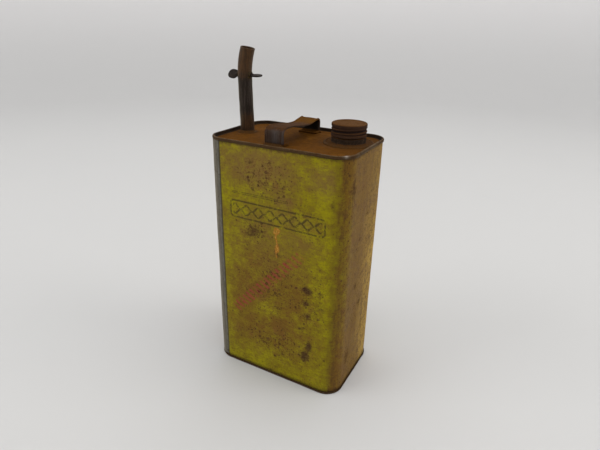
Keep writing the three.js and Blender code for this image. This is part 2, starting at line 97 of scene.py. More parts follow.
def smooth(t, low=0.0, high=1.0):
    """0 below low, 1 above high, and an even curve between. Takes numbers or arrays."""
    t = np.clip((np.asarray(t, float) - low) / (high - low), 0, 1)
    return t * t * (3 - 2 * t)


def bell(t, middle, width):
    """1 at the middle, falling to 0.37 at that width from it. Takes numbers or arrays."""
    return np.exp(-((t - middle) / width) ** 2)


def wobble(points, size, seed):
    """Smooth noise from about -1 to 1 at each point, with features of about that size in metres."""
    out = np.empty(len(points))
    for i, (x, y, z) in enumerate(points):
        place = Vector((x / size + seed, y / size - seed, z / size + 2 * seed))
        out[i] = noise.fractal(place, 0.8, 2.0, 2, noise_basis="PERLIN_ORIGINAL")
    return out


def add_object(name, verts, faces):
    """A smooth-shaded mesh object in the scene."""
    mesh = bpy.data.meshes.new(name)
    mesh.from_pydata([tuple(map(float, v)) for v in verts], [], faces)
    mesh.polygons.foreach_set("use_smooth", [True] * len(mesh.polygons))
    mesh.update()
    obj = bpy.data.objects.new(name, mesh)
    bpy.context.scene.collection.objects.link(obj)
    return obj


def outward(obj):
    """Turns every face of a closed mesh outwards."""
    bm = bmesh.new()
    bm.from_mesh(obj.data)
    bmesh.ops.recalc_face_normals(bm, faces=bm.faces)
    bm.to_mesh(obj.data)
    bm.free()


def sheet_of(name, grid, wrap_rows=False, caps=False):
    """A mesh over a grid of points shaped (rows, columns, 3), closed along its columns.
    wrap_rows joins the last row to the first; caps closes both with a face."""
    rows, cols = grid.shape[:2]
    faces = []
    for r in range(rows if wrap_rows else rows - 1):
        below, above = r * cols, (r + 1) % rows * cols
        for c in range(cols):
            d = (c + 1) % cols
            faces.append((below + c, below + d, above + d, above + c))
    if caps:
        faces.append(tuple(range(cols))[::-1])
        faces.append(tuple(range((rows - 1) * cols, rows * cols)))
    return add_object(name, grid.reshape(-1, 3), faces)


def solid_of(name, grid, wrap_rows=False, caps=False):
    """The same as a closed solid, with its faces turned outwards."""
    obj = sheet_of(name, grid, wrap_rows=wrap_rows, caps=caps)
    outward(obj)
    return obj


def round_outline(corner_steps, flat_step):
    """Places round the body wall, counter-clockwise, and their outward normals."""
    reach = (HALF_W - CORNER_R, HALF_D - CORNER_R)
    centres = [Vector((CX + sx * reach[0], CY + sy * reach[1]))
               for sx, sy in ((1, 1), (-1, 1), (-1, -1), (1, -1))]
    spots, normals = [], []
    for k, centre in enumerate(centres):
        for i in range(corner_steps + 1):
            turn = (k + i / corner_steps) * pi / 2
            normal = Vector((cos(turn), sin(turn)))
            spots.append(centre + CORNER_R * normal)
            normals.append(normal)
        following = centres[(k + 1) % 4]
        steps = round((following - centre).length / flat_step)
        for i in range(1, steps):
            spots.append(centre.lerp(following, i / steps) + CORNER_R * normal)
            normals.append(normal)
    return np.array(spots), np.array(normals)


def carried(profile, steps=(14, 2.5 * MM)):
    """Rings of (offset, z) points carried round the outline: an array of (points, places, 3)."""
    spots, normals = round_outline(*steps)
    rings = [np.column_stack([spots + normals * offset, np.full(len(spots), z)])
             for offset, z in profile]
    return np.array(rings), normals


def turned(profile, centre, count, move=None):
    """A surface of revolution about a vertical axis, shaped (profile, count, 3).
    move(radius, z, angle) gives each point's radius."""
    angles = np.arange(count) * 2 * pi / count
    rows = []
    for radius, z in profile:
        radii = np.full(count, radius) if move is None else move(radius, z, angles)
        rows.append(np.column_stack([
            centre.x + radii * np.cos(angles), centre.y + radii * np.sin(angles),
            np.full(count, z)]))
    return np.array(rows)


def thicken(obj):
    """Gives a sheet its thickness, inwards from the face that shows."""
    sheet = obj.modifiers.new("sheet", "SOLIDIFY")
    sheet.thickness, sheet.offset = SHEET, -1


def piece(obj, body, slot, material, *nodes):
    """Gives a piece its material and body, and hides the CAD nodes it stands for; slot is not used."""
    obj.data.materials.append(material)
    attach(obj, body)
    if nodes:
        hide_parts(*nodes)


def paint_points(obj, name, values):
    """Stores one number per vertex for the material to read."""
    layer = obj.data.attributes.new(name, "FLOAT", "POINT")
    layer.data.foreach_set("value", np.asarray(values, np.float32))


# ---- Node helpers ----

class Val:
    """A number in a node tree, with arithmetic."""

    def __init__(self, graph, socket):
        self.graph, self.socket = graph, socket

    def __add__(self, other):
        return self.graph.math("ADD", self, other)

    def __sub__(self, other):
        return self.graph.math("SUBTRACT", self, other)

    def __rsub__(self, other):
        return self.graph.math("SUBTRACT", other, self)

    def __mul__(self, other):
        return self.graph.math("MULTIPLY", self, other)

    def __abs__(self):
        return self.graph.math("ABSOLUTE", self)

    __radd__, __rmul__ = __add__, __mul__


class Graph:
    """A material's node tree. Lengths in it are in millimetres."""

    def __init__(self, name):
        self.material = bpy.data.materials.new(name)
        self.material.use_nodes = True
        self.tree = self.material.node_tree
        self.tree.nodes.clear()
        coords = self.node("TexCoord")
        scaled = self.node("VectorMath", {0: coords.outputs["Object"]}, operation="SCALE")
        scaled.inputs["Scale"].default_value = 1 / MM
        self.place = scaled.outputs[0]
        parts = self.node("SeparateXYZ", {0: self.place})
        self.x, self.y, self.z = (Val(self, parts.outputs[k]) for k in range(3))
        facing = self.node("SeparateXYZ", {0: coords.outputs["Normal"]})
        self.up = Val(self, facing.outputs[2])

    def node(self, kind, inputs=None, **settings):
        made = self.tree.nodes.new("ShaderNode" + kind)
        for key, value in settings.items():
            setattr(made, key, value)
        for key, value in (inputs or {}).items():
            self.feed(made.inputs[key], value)
        return made

    def feed(self, socket, value):
        value = value.socket if isinstance(value, Val) else value
        if isinstance(value, bpy.types.NodeSocket):
            self.tree.links.new(value, socket)
        elif isinstance(value, tuple) and len(value) == 3 and socket.type == "RGBA":
            socket.default_value = (*value, 1)
        else:
            socket.default_value = value

    def math(self, operation, a, b=0.0, clamp=False):
        made = self.node("Math", {0: a, 1: b}, operation=operation, use_clamp=clamp)
        return Val(self, made.outputs[0])

    def most(self, a, b):
        return self.math("MAXIMUM", a, b)

    def least(self, a, b):
        return self.math("MINIMUM", a, b)

    def step(self, value, low, high):
        """0 below low, 1 above high, smooth between; with low above high it falls instead."""
        if low > high:
            return 1 - self.step(value, high, low)
        made = self.node("MapRange", {0: value, 1: low, 2: high},
                         interpolation_type="SMOOTHSTEP")
        return Val(self, made.outputs[0])

    def stretch(self, sx, sy, sz):
        """The object's place scaled along each axis; a small scale gives long streaks."""
        made = self.node("Mapping", {0: self.place})
        made.inputs["Scale"].default_value = (sx, sy, sz)
        return made.outputs[0]

    def warped(self, amount, size):
        """The object's place pushed about by up to half the amount, so that shapes turn ragged."""
        made = self.node("TexNoise", {"Vector": self.place, "Scale": 1 / size, "Detail": 4})
        centred = self.node("VectorMath", {0: made.outputs["Color"], 1: (0.5, 0.5, 0.5)},
                            operation="SUBTRACT")
        push = self.node("VectorMath", {0: centred.outputs[0]}, operation="SCALE")
        push.inputs["Scale"].default_value = 2 * amount
        moved = self.node("VectorMath", {0: self.place, 1: push.outputs[0]}, operation="ADD")
        return moved.outputs[0]

    def noise(self, size, detail, rough=0.55, where=None, warp=0.0):
        made = self.node("TexNoise", {"Vector": where or self.place, "Scale": 1 / size,
                         "Detail": detail, "Roughness": rough, "Distortion": warp})
        return Val(self, made.outputs[0])

    def cells(self, size, where=None, feature="F1"):
        """Distance from the nearest cell centre, in cells, and a random number for each cell."""
        made = self.node("TexVoronoi", {"Vector": where or self.place, "Scale": 1 / size},
                         feature=feature)
        if feature == "DISTANCE_TO_EDGE":
            return Val(self, made.outputs[0])
        parts = self.node("SeparateColor", {0: made.outputs["Color"]})
        return Val(self, made.outputs["Distance"]), Val(self, parts.outputs[0])

    def point(self, name):
        made = self.node("Attribute", attribute_name=name)
        return Val(self, made.outputs["Fac"])

    def mix(self, share, a, b):
        made = self.node("Mix", data_type="RGBA", clamp_factor=True)
        for key, value in ((0, share), (6, a), (7, b)):
            self.feed(made.inputs[key], value)
        return made.outputs[2]

    def specks(self, size, share, radius, where=None):
        """Round-ish spots of random size in a share of cells; share may be a Val."""
        distance, pick = self.cells(size, where)
        room = self.most(share - pick, 0.0)
        reach = self.least(room * 2.5, 1.0) * radius
        return self.math("MULTIPLY", self.math("SUBTRACT", reach, distance), 9.0, clamp=True)

    def oblong(self, u, v, centre, half, corner):
        """Signed distance, in millimetres, from the outline of a round-cornered oblong."""
        du = abs(u - centre[0]) - (half[0] - corner)
        dv = abs(v - centre[1]) - (half[1] - corner)
        outside = self.node("CombineXYZ", {
            0: self.most(du, 0.0), 1: self.most(dv, 0.0)})
        length = self.node("VectorMath", {0: outside.outputs[0]}, operation="LENGTH")
        inside = self.least(self.most(du, dv), 0.0)
        return Val(self, length.outputs["Value"]) + inside - corner

    def finish(self, color, rough, metal, height, depth, specular):
        """Ends the material; height is 0 to 1 over a depth in millimetres."""
        bump = self.node("Bump", {"Height": height, "Strength": 1.0, "Distance": depth * MM})
        shader = self.node("BsdfPrincipled", {
            "Base Color": color, "Roughness": rough, "Metallic": metal, "Normal": bump.outputs[0]})
        shader.inputs["Specular IOR Level"].default_value = specular
        shader.inputs["Specular Tint"].default_value = SHEEN_TINT
        self.node("OutputMaterial", {0: shader.outputs[0]})
        return self.material


# ---- Materials ----

YELLOW = (0.315, 0.285, 0.001)
OLIVE = (0.200, 0.150, 0.002)
HIGH_FILM = (0.188, 0.108, 0.029)
LOW_FILM = (0.157, 0.077, 0.011)
TAN_FILM = (0.185, 0.092, 0.008)
PALE_TAN = (0.470, 0.290, 0.050)
# a darker film tone for the grain and mottle, also the colour of the painted shade on the right front
# corner
DARK_FILM_AND_SHADE = (0.078, 0.036, 0.010)
DARK_RUST = (0.038, 0.017, 0.009)
PURPLE_RUST = (0.085, 0.038, 0.018)
ORANGE_RUST = (0.330, 0.115, 0.010)
PALE_ORANGE = (0.560, 0.300, 0.050)
FADED_RED = (0.265, 0.052, 0.028)
INK = (0.040, 0.027, 0.010)
TIN = (0.172, 0.165, 0.142)
DULL_TIN = (0.102, 0.093, 0.075)
SHEEN_TINT = (1.0, 0.86, 0.55, 1.0)
BLUSH = (0.200, 0.072, 0.026)
FLECK = (0.048, 0.022, 0.009)
OCHRE_SHADE = (0.130, 0.060, 0.010)
EDGE_LINE = (0.030, 0.024, 0.014)
DIRT_AND_SHADE = (0.035, 0.022, 0.014)
UNDERSIDE_SHADE = (0.008, 0.006, 0.005)
CREVICE_SHADE = (0.018, 0.011, 0.008)
CAP_SIDE_SHADE = (0.017, 0.012, 0.014)
HUMP_RUST = (0.112, 0.044, 0.003)
LEG_SHEEN = (0.084, 0.074, 0.072)
FOOT_RUST = (0.092, 0.033, 0.002)
PAINTED_GLINT = (0.58, 0.52, 0.45)
SPOUT_FOOT_SHADE = (0.016, 0.010, 0.007)
SPOUT_BLOOM = (0.115, 0.050, 0.012)
SPOUT_PIT = (0.014, 0.008, 0.005)


def can_paint():
    """Litho paint under a brown film, with pits, blotches, worn print, a bare corner and painted shade on
    the right front corner.
    """
    g = Graph("can_paint")
    ragged = g.warped(1.6, 2.6)
    grit = g.noise(0.8, 5, 0.7)
    fine = g.noise(1.7, 6, 0.7, ragged)
    mid = g.noise(7, 6, 0.65)
    big = g.noise(34, 3)
    smear = g.noise(2.0, 5, 0.65, g.stretch(0.2, 0.2, 1))
    streak = g.noise(3.0, 5, 0.6, g.stretch(1, 1, 0.13))
    side, busy = g.point("side"), g.point("specks") + (big - 0.5) * 0.6
    film = g.step(g.point("film") + (mid - 0.5) * 0.78 + (fine - 0.5) * 0.9 + (smear - 0.5) * 0.45,
                  0.10, 1.02)
    color = g.mix(g.step(mid * 0.4 + big * 0.4 + smear * 0.2, 0.36, 0.64), YELLOW, OLIVE)
    front_film = g.mix(g.step(g.z + (big - 0.5) * 80, 110, 220), LOW_FILM, HIGH_FILM)
    film_color = g.mix(side, front_film, g.mix(g.point("pale"), TAN_FILM, PALE_TAN))
    color = g.mix(film * 0.94, color, film_color)
    blush = g.step(g.noise(11, 5, 0.6, ragged), 0.50, 0.66)
    color = g.mix(blush * (busy * 0.30 + 0.04), color, BLUSH)
    grain = g.step(fine * 0.6 + grit * 0.2 + smear * 0.2, 0.50, 0.60)
    color = g.mix(grain * (busy * 0.62 + 0.12), color, DARK_FILM_AND_SHADE)
    flecks = g.step(g.noise(2.6, 5, 0.7, ragged), 0.575, 0.63)
    color = g.mix(flecks * (busy * 1.05), color, FLECK)
    patches = g.step(g.noise(11, 5, 0.62, ragged) * 0.7 + streak * 0.3, 0.42, 0.64)
    color = g.mix(patches * side * 0.5, color, OCHRE_SHADE)
    mottle = g.step(g.noise(4.2, 5, 0.65, ragged) * 0.62 + streak * 0.38, 0.45, 0.62)
    uneven = g.step(g.noise(26, 3), 0.36, 0.62) * 0.7 + 0.3
    color = g.mix(mottle * (side * 0.66 + 0.06) * uneven, color, DARK_FILM_AND_SHADE)
    # painted shade on the rounded right front corner
    color = g.mix(g.point("corner") * (0.22 + streak * 0.4), color, DARK_FILM_AND_SHADE)

    # worn print on the front: a ruled band of lozenges, a rule above it and a faded hatched stripe
    front = g.step(g.y, -50.5, -52.2)
    worn = g.step(g.noise(2.4, 4, 0.7) * 0.6 + mid * 0.4, 0.38, 0.52)
    u = g.x - (CX - HALF_W) / MM
    band = g.oblong(u, g.z, (86, 207.5), (57, 9.5), 4.5)
    along_band = g.math("PINGPONG", u - 34.5, 7.4)
    lozenge = (along_band + abs(g.z - 207.5)) * 0.707 - 4.6
    marks = g.step(abs(lozenge), 1.45, 0.75) * g.step(band, -2.8, -3.6)
    lines = g.most(g.step(abs(band), 1.3, 0.6), marks)
    rule = g.step(abs(g.oblong(u, g.z, (66, 226.5), (34, 0.9), 0.8)), 0.8, 0.2)
    ink = g.most(lines, rule * 0.8) * worn * front
    color = g.mix(ink * 0.80, color, INK)
    along = (u - 74) * 0.690 + (g.z - 125) * 0.724
    across = (g.z - 125) * 0.690 - (u - 74) * 0.724
    hatch = g.step(g.math("PINGPONG", along + across * 0.3 + (mid - 0.5) * 5, 3.6), 1.3, 2.2)
    stripe = g.step(abs(across), 7.5, 5.8) * g.step(abs(along), 66, 58)
    faded = g.step(mid * 0.6 + fine * 0.4, 0.36, 0.58)
    color = g.mix(stripe * hatch * front * faded * 0.92, color, FADED_RED)

    bend = (g.noise(9, 2) - 0.5) * 6
    drip = g.oblong(u + bend, g.z, (86.6, 178), (0.75, 17), 0.7)
    head = abs(g.oblong(u + bend, g.z, (86.4, 192), (2.5, 3.0), 2.4)) - 0.7
    drop = g.oblong(u + bend, g.z, (88.0, 171), (1.5, 3.6), 1.4)
    orange = g.least(g.least(drip, head), drop)
    orange = g.step(orange + (fine - 0.5) * 4.5, 0.9, -0.5) * front
    color = g.mix(orange * 0.9, color, g.mix(g.step(fine, 0.42, 0.6), ORANGE_RUST, PALE_ORANGE))

    # pits and blotches of rust
    spots = g.specks(5.4, busy * 0.74, 0.40, ragged)
    small = g.specks(2.8, busy * 0.96, 0.38, ragged)
    tiny = g.specks(1.3, 0.40 + busy * 0.35, 0.34)
    pits = g.most(spots, g.most(small * 0.9, tiny * 0.5))
    pits = pits * g.step(fine, 0.30, 0.50)
    color = g.mix(pits * 0.80, color, g.mix(g.step(mid, 0.4, 0.6), PURPLE_RUST, DARK_RUST))
    rust = g.step(g.point("rust") + (mid - 0.5) * 0.8 + (fine - 0.5) * 0.45, 0.24, 0.78)
    color = g.mix(rust * 0.85, color, g.mix(g.step(fine, 0.36, 0.56), PURPLE_RUST, DARK_RUST))

    # grime along both seams
    low_edge = g.step(g.z + (mid - 0.5) * 9, 8.5, 3.0)
    high_edge = g.step(g.z + (mid - 0.5) * 7, CAN_H / MM - 6.5, CAN_H / MM - 3.0)
    grime = g.most(low_edge, high_edge)
    color = g.mix(grime * 0.6, color, DARK_RUST)

    # the bare corner
    bare = g.step(g.point("bare") + (fine - 0.5) * 0.35 + (streak - 0.5) * 0.15, 0.40, 0.60)
    tin = g.mix(g.step(streak * 0.5 + mid * 0.5, 0.40, 0.64), TIN, DULL_TIN)
    tin = g.mix(pits * 0.7, tin, DARK_RUST)
    color = g.mix(bare, color, tin)
    edge_line = g.step(abs(g.point("bare") - 0.5), 0.36, 0.14)
    color = g.mix(edge_line * 0.8, color, EDGE_LINE)

    rough = 0.40 + film * 0.16 + rust * 0.28 + pits * 0.2 + (fine - 0.5) * 0.3 + grime * 0.15
    height = (0.55 + (fine - 0.5) * 0.30 + film * 0.10 - pits * 0.42 + rust * (fine - 0.2) * 0.6
              - bare * 0.15)
    return g.finish(color, g.least(rough, 0.95), bare * 0.55, height, 0.18, specular=0.16)


def rusty(name, dark, main, bright, rough=0.82, metal=0.1, glow=0.5, dirt_and_shade=0.0):
    """Even surface rust: a dark ground, a main brown and brighter blooms, with a fine grain."""
    g = Graph(name)
    fine = g.noise(1.1, 7, 0.7)
    mid = g.noise(5.6, 5, 0.6, warp=0.6)
    big = g.noise(30.8, 3)
    color = g.mix(g.step(mid * 0.55 + fine * 0.45, 0.38, 0.60), dark, main)
    bloom = g.step(big * 0.5 + mid * 0.3 + fine * 0.2, 0.62 - glow * 0.22, 0.74 - glow * 0.16)
    color = g.mix(bloom * 0.8, color, bright)
    pits = g.specks(2.86, 0.35, 0.38)
    color = g.mix(pits * 0.7, color, DARK_RUST)
    # a darker layer that is partly dirt and partly painted shade
    if dirt_and_shade:
        dirt_and_shade_mask = g.step(g.point("dirt_and_shade") + (mid - 0.5) * 0.7 + (fine - 0.5) * 0.3, 0.35, 0.75)
        color = g.mix(dirt_and_shade_mask * dirt_and_shade, color, DIRT_AND_SHADE)
    height = 0.5 + (fine - 0.5) * 0.7 + (mid - 0.5) * 0.5 - pits * 0.35
    return g.finish(color, rough + (fine - 0.5) * 0.2 - bloom * 0.05, metal, height, 0.22, 0.08)


def worn_metal(name, ground, wear, rust, rough, metal, rust_share, patch=9.0, streaks=False,
               ridge=False, rust_up=0.0, under=0.0, gloss=0.16, shaded_sides=0.0):
    """Old sheet metal: a dark ground, rubbed places and rust patches.
    ridge reads the point layer that marks raised places, with painted shade in its low places and a painted
    glint where the bright layer is set; rust_up adds rust on upward faces;
    under reads the strap's layers: painted shade on its inner face and near its feet, rust on its hump and
    feet, and a painted sheen down its leg;
    the last setting paints shade, with a bluish painted sheen, on the faces that don't look up."""
    g = Graph(name)
    fine = g.noise(0.9, 6, 0.65)
    mid = g.noise(patch, 5, 0.6, warp=0.4)
    where = g.stretch(1, 1, 0.12) if streaks else None
    grain = g.noise(1.6, 5, 0.6, where)
    rubbed = g.step(grain * 0.5 + mid * 0.3 + fine * 0.2, 0.44, 0.66)
    if ridge:
        crest = g.point("ridge")
        rubbed = g.math("MULTIPLY", rubbed * 0.55 + 0.45, g.step(crest + (fine - 0.5) * 0.5, 0.35, 0.95))
    color = g.mix(rubbed, ground, wear)
    spread = mid * 0.6 + fine * 0.4 + rust_up * g.step(g.up, 0.2, 0.9)
    rusted = g.step(spread, 0.66 - rust_share * 0.3, 0.78 - rust_share * 0.26)
    rust_tone = g.mix(g.step(fine, 0.35, 0.65), rust, DARK_RUST)
    color = g.mix(rusted * 0.8, color, rust_tone)
    pits = g.specks(2.0, 0.3, 0.36)
    color = g.mix(pits * 0.75, color, DARK_RUST)
    if ridge:
        # painted shade in the low places of the ridge layer: the cap's thread grooves and the underside of
        # the seams
        color = g.mix(g.step(crest, 0.5, 0.05) * 0.75, color, CREVICE_SHADE)
        # a painted glint on the rim at the front right corner
        color = g.mix(g.point("bright") * 0.6, color, PAINTED_GLINT)
    # painted shade, with a bluish painted sheen, on the faces that don't look up
    if shaded_sides:
        color = g.mix(g.step(g.up, 0.75, 0.3) * shaded_sides, color, CAP_SIDE_SHADE)
    if under:
        color = g.mix(g.point("hump") * (0.4 + mid * 0.7), color, HUMP_RUST)
        # a painted sheen: a grey-blue band down the strap's front leg
        color = g.mix(g.point("leg") * (0.15 + grain * 0.65), color, LEG_SHEEN)
        # painted shade on the strap's inner face and low down near its feet
        color = g.mix(g.point("shaded_underside") * under, color, UNDERSIDE_SHADE)
        color = g.mix(g.point("foot") * (0.6 + fine * 0.4), color, FOOT_RUST)
    shine = g.math("MULTIPLY", rubbed * 0.35 + (metal - 0.2), 1 - rusted * 0.75, clamp=True)
    bumps = 0.5 + (fine - 0.5) * 0.5 + rusted * (fine - 0.2) * 0.6 - pits * 0.4
    tone = rough + rusted * 0.28 + (fine - 0.5) * 0.2 - rubbed * 0.08
    return g.finish(color, g.least(tone, 0.95), shine, bumps, 0.12, gloss)


def spout_patina():
    """Brown at both ends of the spout and an oily blue-black between them, streaked lengthways, with
    painted shade at its foot.
    """
    g = Graph("spout_metal")
    fine = g.noise(1.0, 6, 0.7)
    mid = g.noise(6, 5, 0.6, warp=0.5)
    streak = g.noise(1.8, 5, 0.6, g.stretch(1, 1, 0.09))
    base, tap = PLATE_TOP / MM, TAP.z / MM
    level = g.z + (mid - 0.5) * 22
    oily = g.step(level, base + 14, base + 26) * g.step(level, tap + 4, tap - 6)
    brown = g.mix(g.step(streak * 0.6 + fine * 0.4, 0.42, 0.62),
                  (0.029, 0.013, 0.007), (0.076, 0.034, 0.014))
    black = g.mix(g.step(streak * 0.7 + fine * 0.3, 0.44, 0.64),
                  (0.013, 0.009, 0.009), (0.048, 0.037, 0.036))
    color = g.mix(oily * 0.93, brown, black)
    bloom = g.step(mid * 0.5 + fine * 0.5, 0.55, 0.68) * (1 - oily * 0.7)
    color = g.mix(bloom * 0.6, color, SPOUT_BLOOM)
    # painted shade at the foot of the spout, where it meets the panel
    color = g.mix(g.step(g.z + (mid - 0.5) * 5, base + 8, base + 2) * 0.65, color, SPOUT_FOOT_SHADE)
    pits = g.specks(2.0, 0.35, 0.36)
    color = g.mix(pits * 0.7, color, SPOUT_PIT)
    height = 0.5 + (fine - 0.5) * 0.5 + bloom * 0.2 - pits * 0.4
    rough = 0.46 + bloom * 0.25 - oily * 0.08 + (fine - 0.5) * 0.25
    return g.finish(color, rough, 0.25 + oily * 0.2, height, 0.14, 0.35)


def cork():
    g = Graph("cork")
    grains = g.cells(2.2, feature="DISTANCE_TO_EDGE")
    fine = g.noise(0.7, 6, 0.7)
    color = g.mix(g.step(fine, 0.35, 0.65), (0.42, 0.27, 0.13), (0.26, 0.15, 0.07))
    color = g.mix(g.step(grains, 0.09, 0.01), color, (0.10, 0.055, 0.03))
    return g.finish(color, 0.85 + (fine - 0.5) * 0.15, 0.0, grains + fine * 0.5, 0.3, 0.2)


def foil():
    g = Graph("wad_foil")
    creases = g.noise(3.0, 6, 0.75, warp=1.2)
    color = g.mix(g.step(creases, 0.4, 0.6), (0.60, 0.59, 0.56), (0.42, 0.40, 0.36))
    return g.finish(color, 0.28 + creases * 0.25, 0.9, creases, 0.25, 0.5)


def compound():
    g = Graph("seam_compound")
    lumps = g.noise(1.5, 6, 0.7)
    color = g.mix(g.step(lumps, 0.4, 0.6), (0.030, 0.027, 0.024), (0.060, 0.052, 0.044))
    return g.finish(color, 0.75 + (lumps - 0.5) * 0.3, 0.0, lumps, 0.3, 0.3)


paint = can_paint()
panel_rust = rusty("panel_rust", (0.074, 0.026, 0.002), (0.106, 0.038, 0.002), (0.160, 0.060, 0.003),
                   metal=0.0, rough=0.88, dirt_and_shade=0.8)
base_rust = rusty("base_rust", (0.045, 0.024, 0.011), (0.085, 0.043, 0.015), (0.13, 0.06, 0.018), glow=0.3)
rim_metal = worn_metal(
    "rim_metal", (0.034, 0.019, 0.009), (0.175, 0.106, 0.046), (0.060, 0.025, 0.007),
    rough=0.5, metal=0.25, gloss=0.08, rust_share=0.62, ridge=True)
seam_tin = worn_metal(
    "seam_tin", (0.130, 0.118, 0.094), (0.205, 0.192, 0.158), (0.075, 0.044, 0.018),
    rough=0.46, metal=0.5, rust_share=0.42, streaks=True)
neck_metal = worn_metal(
    "neck_metal", (0.025, 0.016, 0.011), (0.070, 0.042, 0.026), (0.112, 0.043, 0.004),
    rough=0.7, metal=0.1, gloss=0.06, rust_share=0.25, rust_up=0.4)
solder_metal = worn_metal(
    "solder_metal", (0.056, 0.026, 0.008), (0.104, 0.052, 0.016), (0.096, 0.036, 0.003),
    rough=0.68, metal=0.15, gloss=0.06, rust_share=0.8, patch=5.0)
cap_metal = worn_metal(
    "cap_metal", (0.040, 0.016, 0.005), (0.135, 0.060, 0.018), (0.080, 0.030, 0.006),
    rough=0.78, metal=0.05, rust_share=0.5, patch=7.0, ridge=True, gloss=0.03, shaded_sides=0.66)
spout_metal = spout_patina()
strap_metal = worn_metal(
    "strap_metal", (0.036, 0.020, 0.013), (0.080, 0.053, 0.040), (0.088, 0.033, 0.006),
    rough=0.6, metal=0.15, gloss=0.06, rust_share=0.32, patch=8.0, rust_up=0.22, streaks=True, under=0.85)
ear_metal = worn_metal(
    "ear_metal", (0.012, 0.008, 0.008), (0.042, 0.033, 0.030), (0.032, 0.016, 0.008),
    rough=0.5, metal=0.2, gloss=0.1, rust_share=0.3, patch=4.0)
brass_metal = worn_metal(
    "brass_metal", (0.024, 0.015, 0.008), (0.110, 0.074, 0.026), (0.040, 0.022, 0.008),
    rough=0.5, metal=0.4, rust_share=0.40, patch=3.0)

# ---- Body wall and its lapped side seam ----

# shallow knocks in the wall: x, y, z from the can's middle and base, radius, depth, in millimetres
DENTS = [
    (-38, -53, 92, 24, 0.55), (34, -53, 176, 30, 0.5), (62, -53, 60, 13, 0.5), (82, 12, 196, 22, 0.7),
    (82, -16, 88, 19, 0.6), (-82, 8, 140, 28, 0.8), (-82, -20, 226, 14, 0.5), (20, 53, 120, 34, 0.8),
    (-46, 53, 214, 20, 0.7), (58, 53, 236, 12, 0.5), (-12, 53, 44, 17, 0.6)]


def wall_shift(points):
    """How far the wall stands out from its flat shape: a slight bow, ripples and knocks."""
    z = points[:, 2]
    free = smooth(z, 5 * MM, 26 * MM) * smooth(CAN_H - z, 5 * MM, 26 * MM)
    bow_x = smooth(1 - np.abs(points[:, 0] - CX) / HALF_W, 0, 0.8)
    bow_y = smooth(1 - np.abs(points[:, 1] - CY) / HALF_D, 0, 0.8)
    shift = -0.45 * MM * (bow_x + 0.7 * bow_y - 0.3)
    shift = shift + 0.30 * MM * wobble(points, 55 * MM, 3.1) + 0.10 * MM * wobble(points, 14 * MM, 8.7)
    for x, y, at, radius, depth in DENTS:
        away = ((points - np.array([CX + x * MM, CY + y * MM, at * MM])) ** 2).sum(1)
        shift -= depth * MM * np.exp(-away / (radius * MM) ** 2)
    return shift * free


def spots(u, v, places):
    """Soft round-edged patches: (u, v, half width, half height, strength), strongest wins."""
    total = np.zeros(len(u))
    for pu, pv, ru, rv, strength in places:
        total = np.maximum(total, strength * bell(u, pu, ru) * bell(v, pv, rv))
    return total


# patches on the front, in millimetres from its lower left corner
FRONT_FILM = [
    (66, 258, 62, 32, 0.76), (72, 150, 52, 66, 0.70), (104, 120, 36, 62, 0.74),
    (44, 108, 26, 70, 0.72), (112, 184, 36, 18, 0.55), (60, 60, 46, 36, 0.72),
    (142, 256, 34, 20, 0.58), (96, 208, 60, 14, 0.45), (164, 150, 13, 170, 0.60),
    (104, 66, 40, 44, 0.66), (62, 112, 24, 18, 0.92), (92, 72, 26, 20, 0.92), (95, 228, 18, 12, 0.62)]
FRONT_RUST = [
    (60, 185, 15, 10, 0.66), (50, 180, 9, 6, 0.5), (125.5, 131, 8, 5.5, 0.84),
    (125, 115, 7, 5.5, 0.78), (141, 132, 4, 3, 0.7), (127, 99, 7, 7, 0.72), (118, 80, 6, 4.5, 0.72),
    (129, 58, 5, 9, 0.9), (125, 44, 7.5, 9, 0.95), (56, 262, 5, 4, 0.6), (74, 242, 11, 8, 0.45),
    (50, 166, 8, 9, 0.42), (150, 233, 2.5, 11, 0.6), (150, 214, 9, 1.8, 0.66), (88, 96, 10, 8, 0.45),
    (143, 114, 4, 4, 0.6), (108, 150, 7, 9, 0.42), (36, 70, 6, 8, 0.4), (136, 106, 4, 6, 0.55),
    (70, 45, 12, 9, 0.5), (94, 36, 9, 7, 0.5), (88, 164, 8, 4, 0.55)]
FRONT_SPECKS = [
    (75, 246, 36, 26, 1.0), (60, 185, 30, 20, 0.8), (80, 120, 64, 64, 0.78), (132, 120, 26, 62, 0.8),
    (90, 50, 62, 34, 0.85), (120, 205, 44, 34, 0.55)]
# patches on the right side, in millimetres from its lower front corner
SIDE_RUST = [
    (17, 246, 7, 14, 0.62), (41, 128, 7, 8, 0.6), (56, 98, 6, 7, 0.6), (60, 208, 9, 5, 0.5),
    (46, 184, 7, 4, 0.55), (30, 40, 12, 16, 0.55), (70, 60, 8, 14, 0.5), (24, 108, 5, 4, 0.6)]


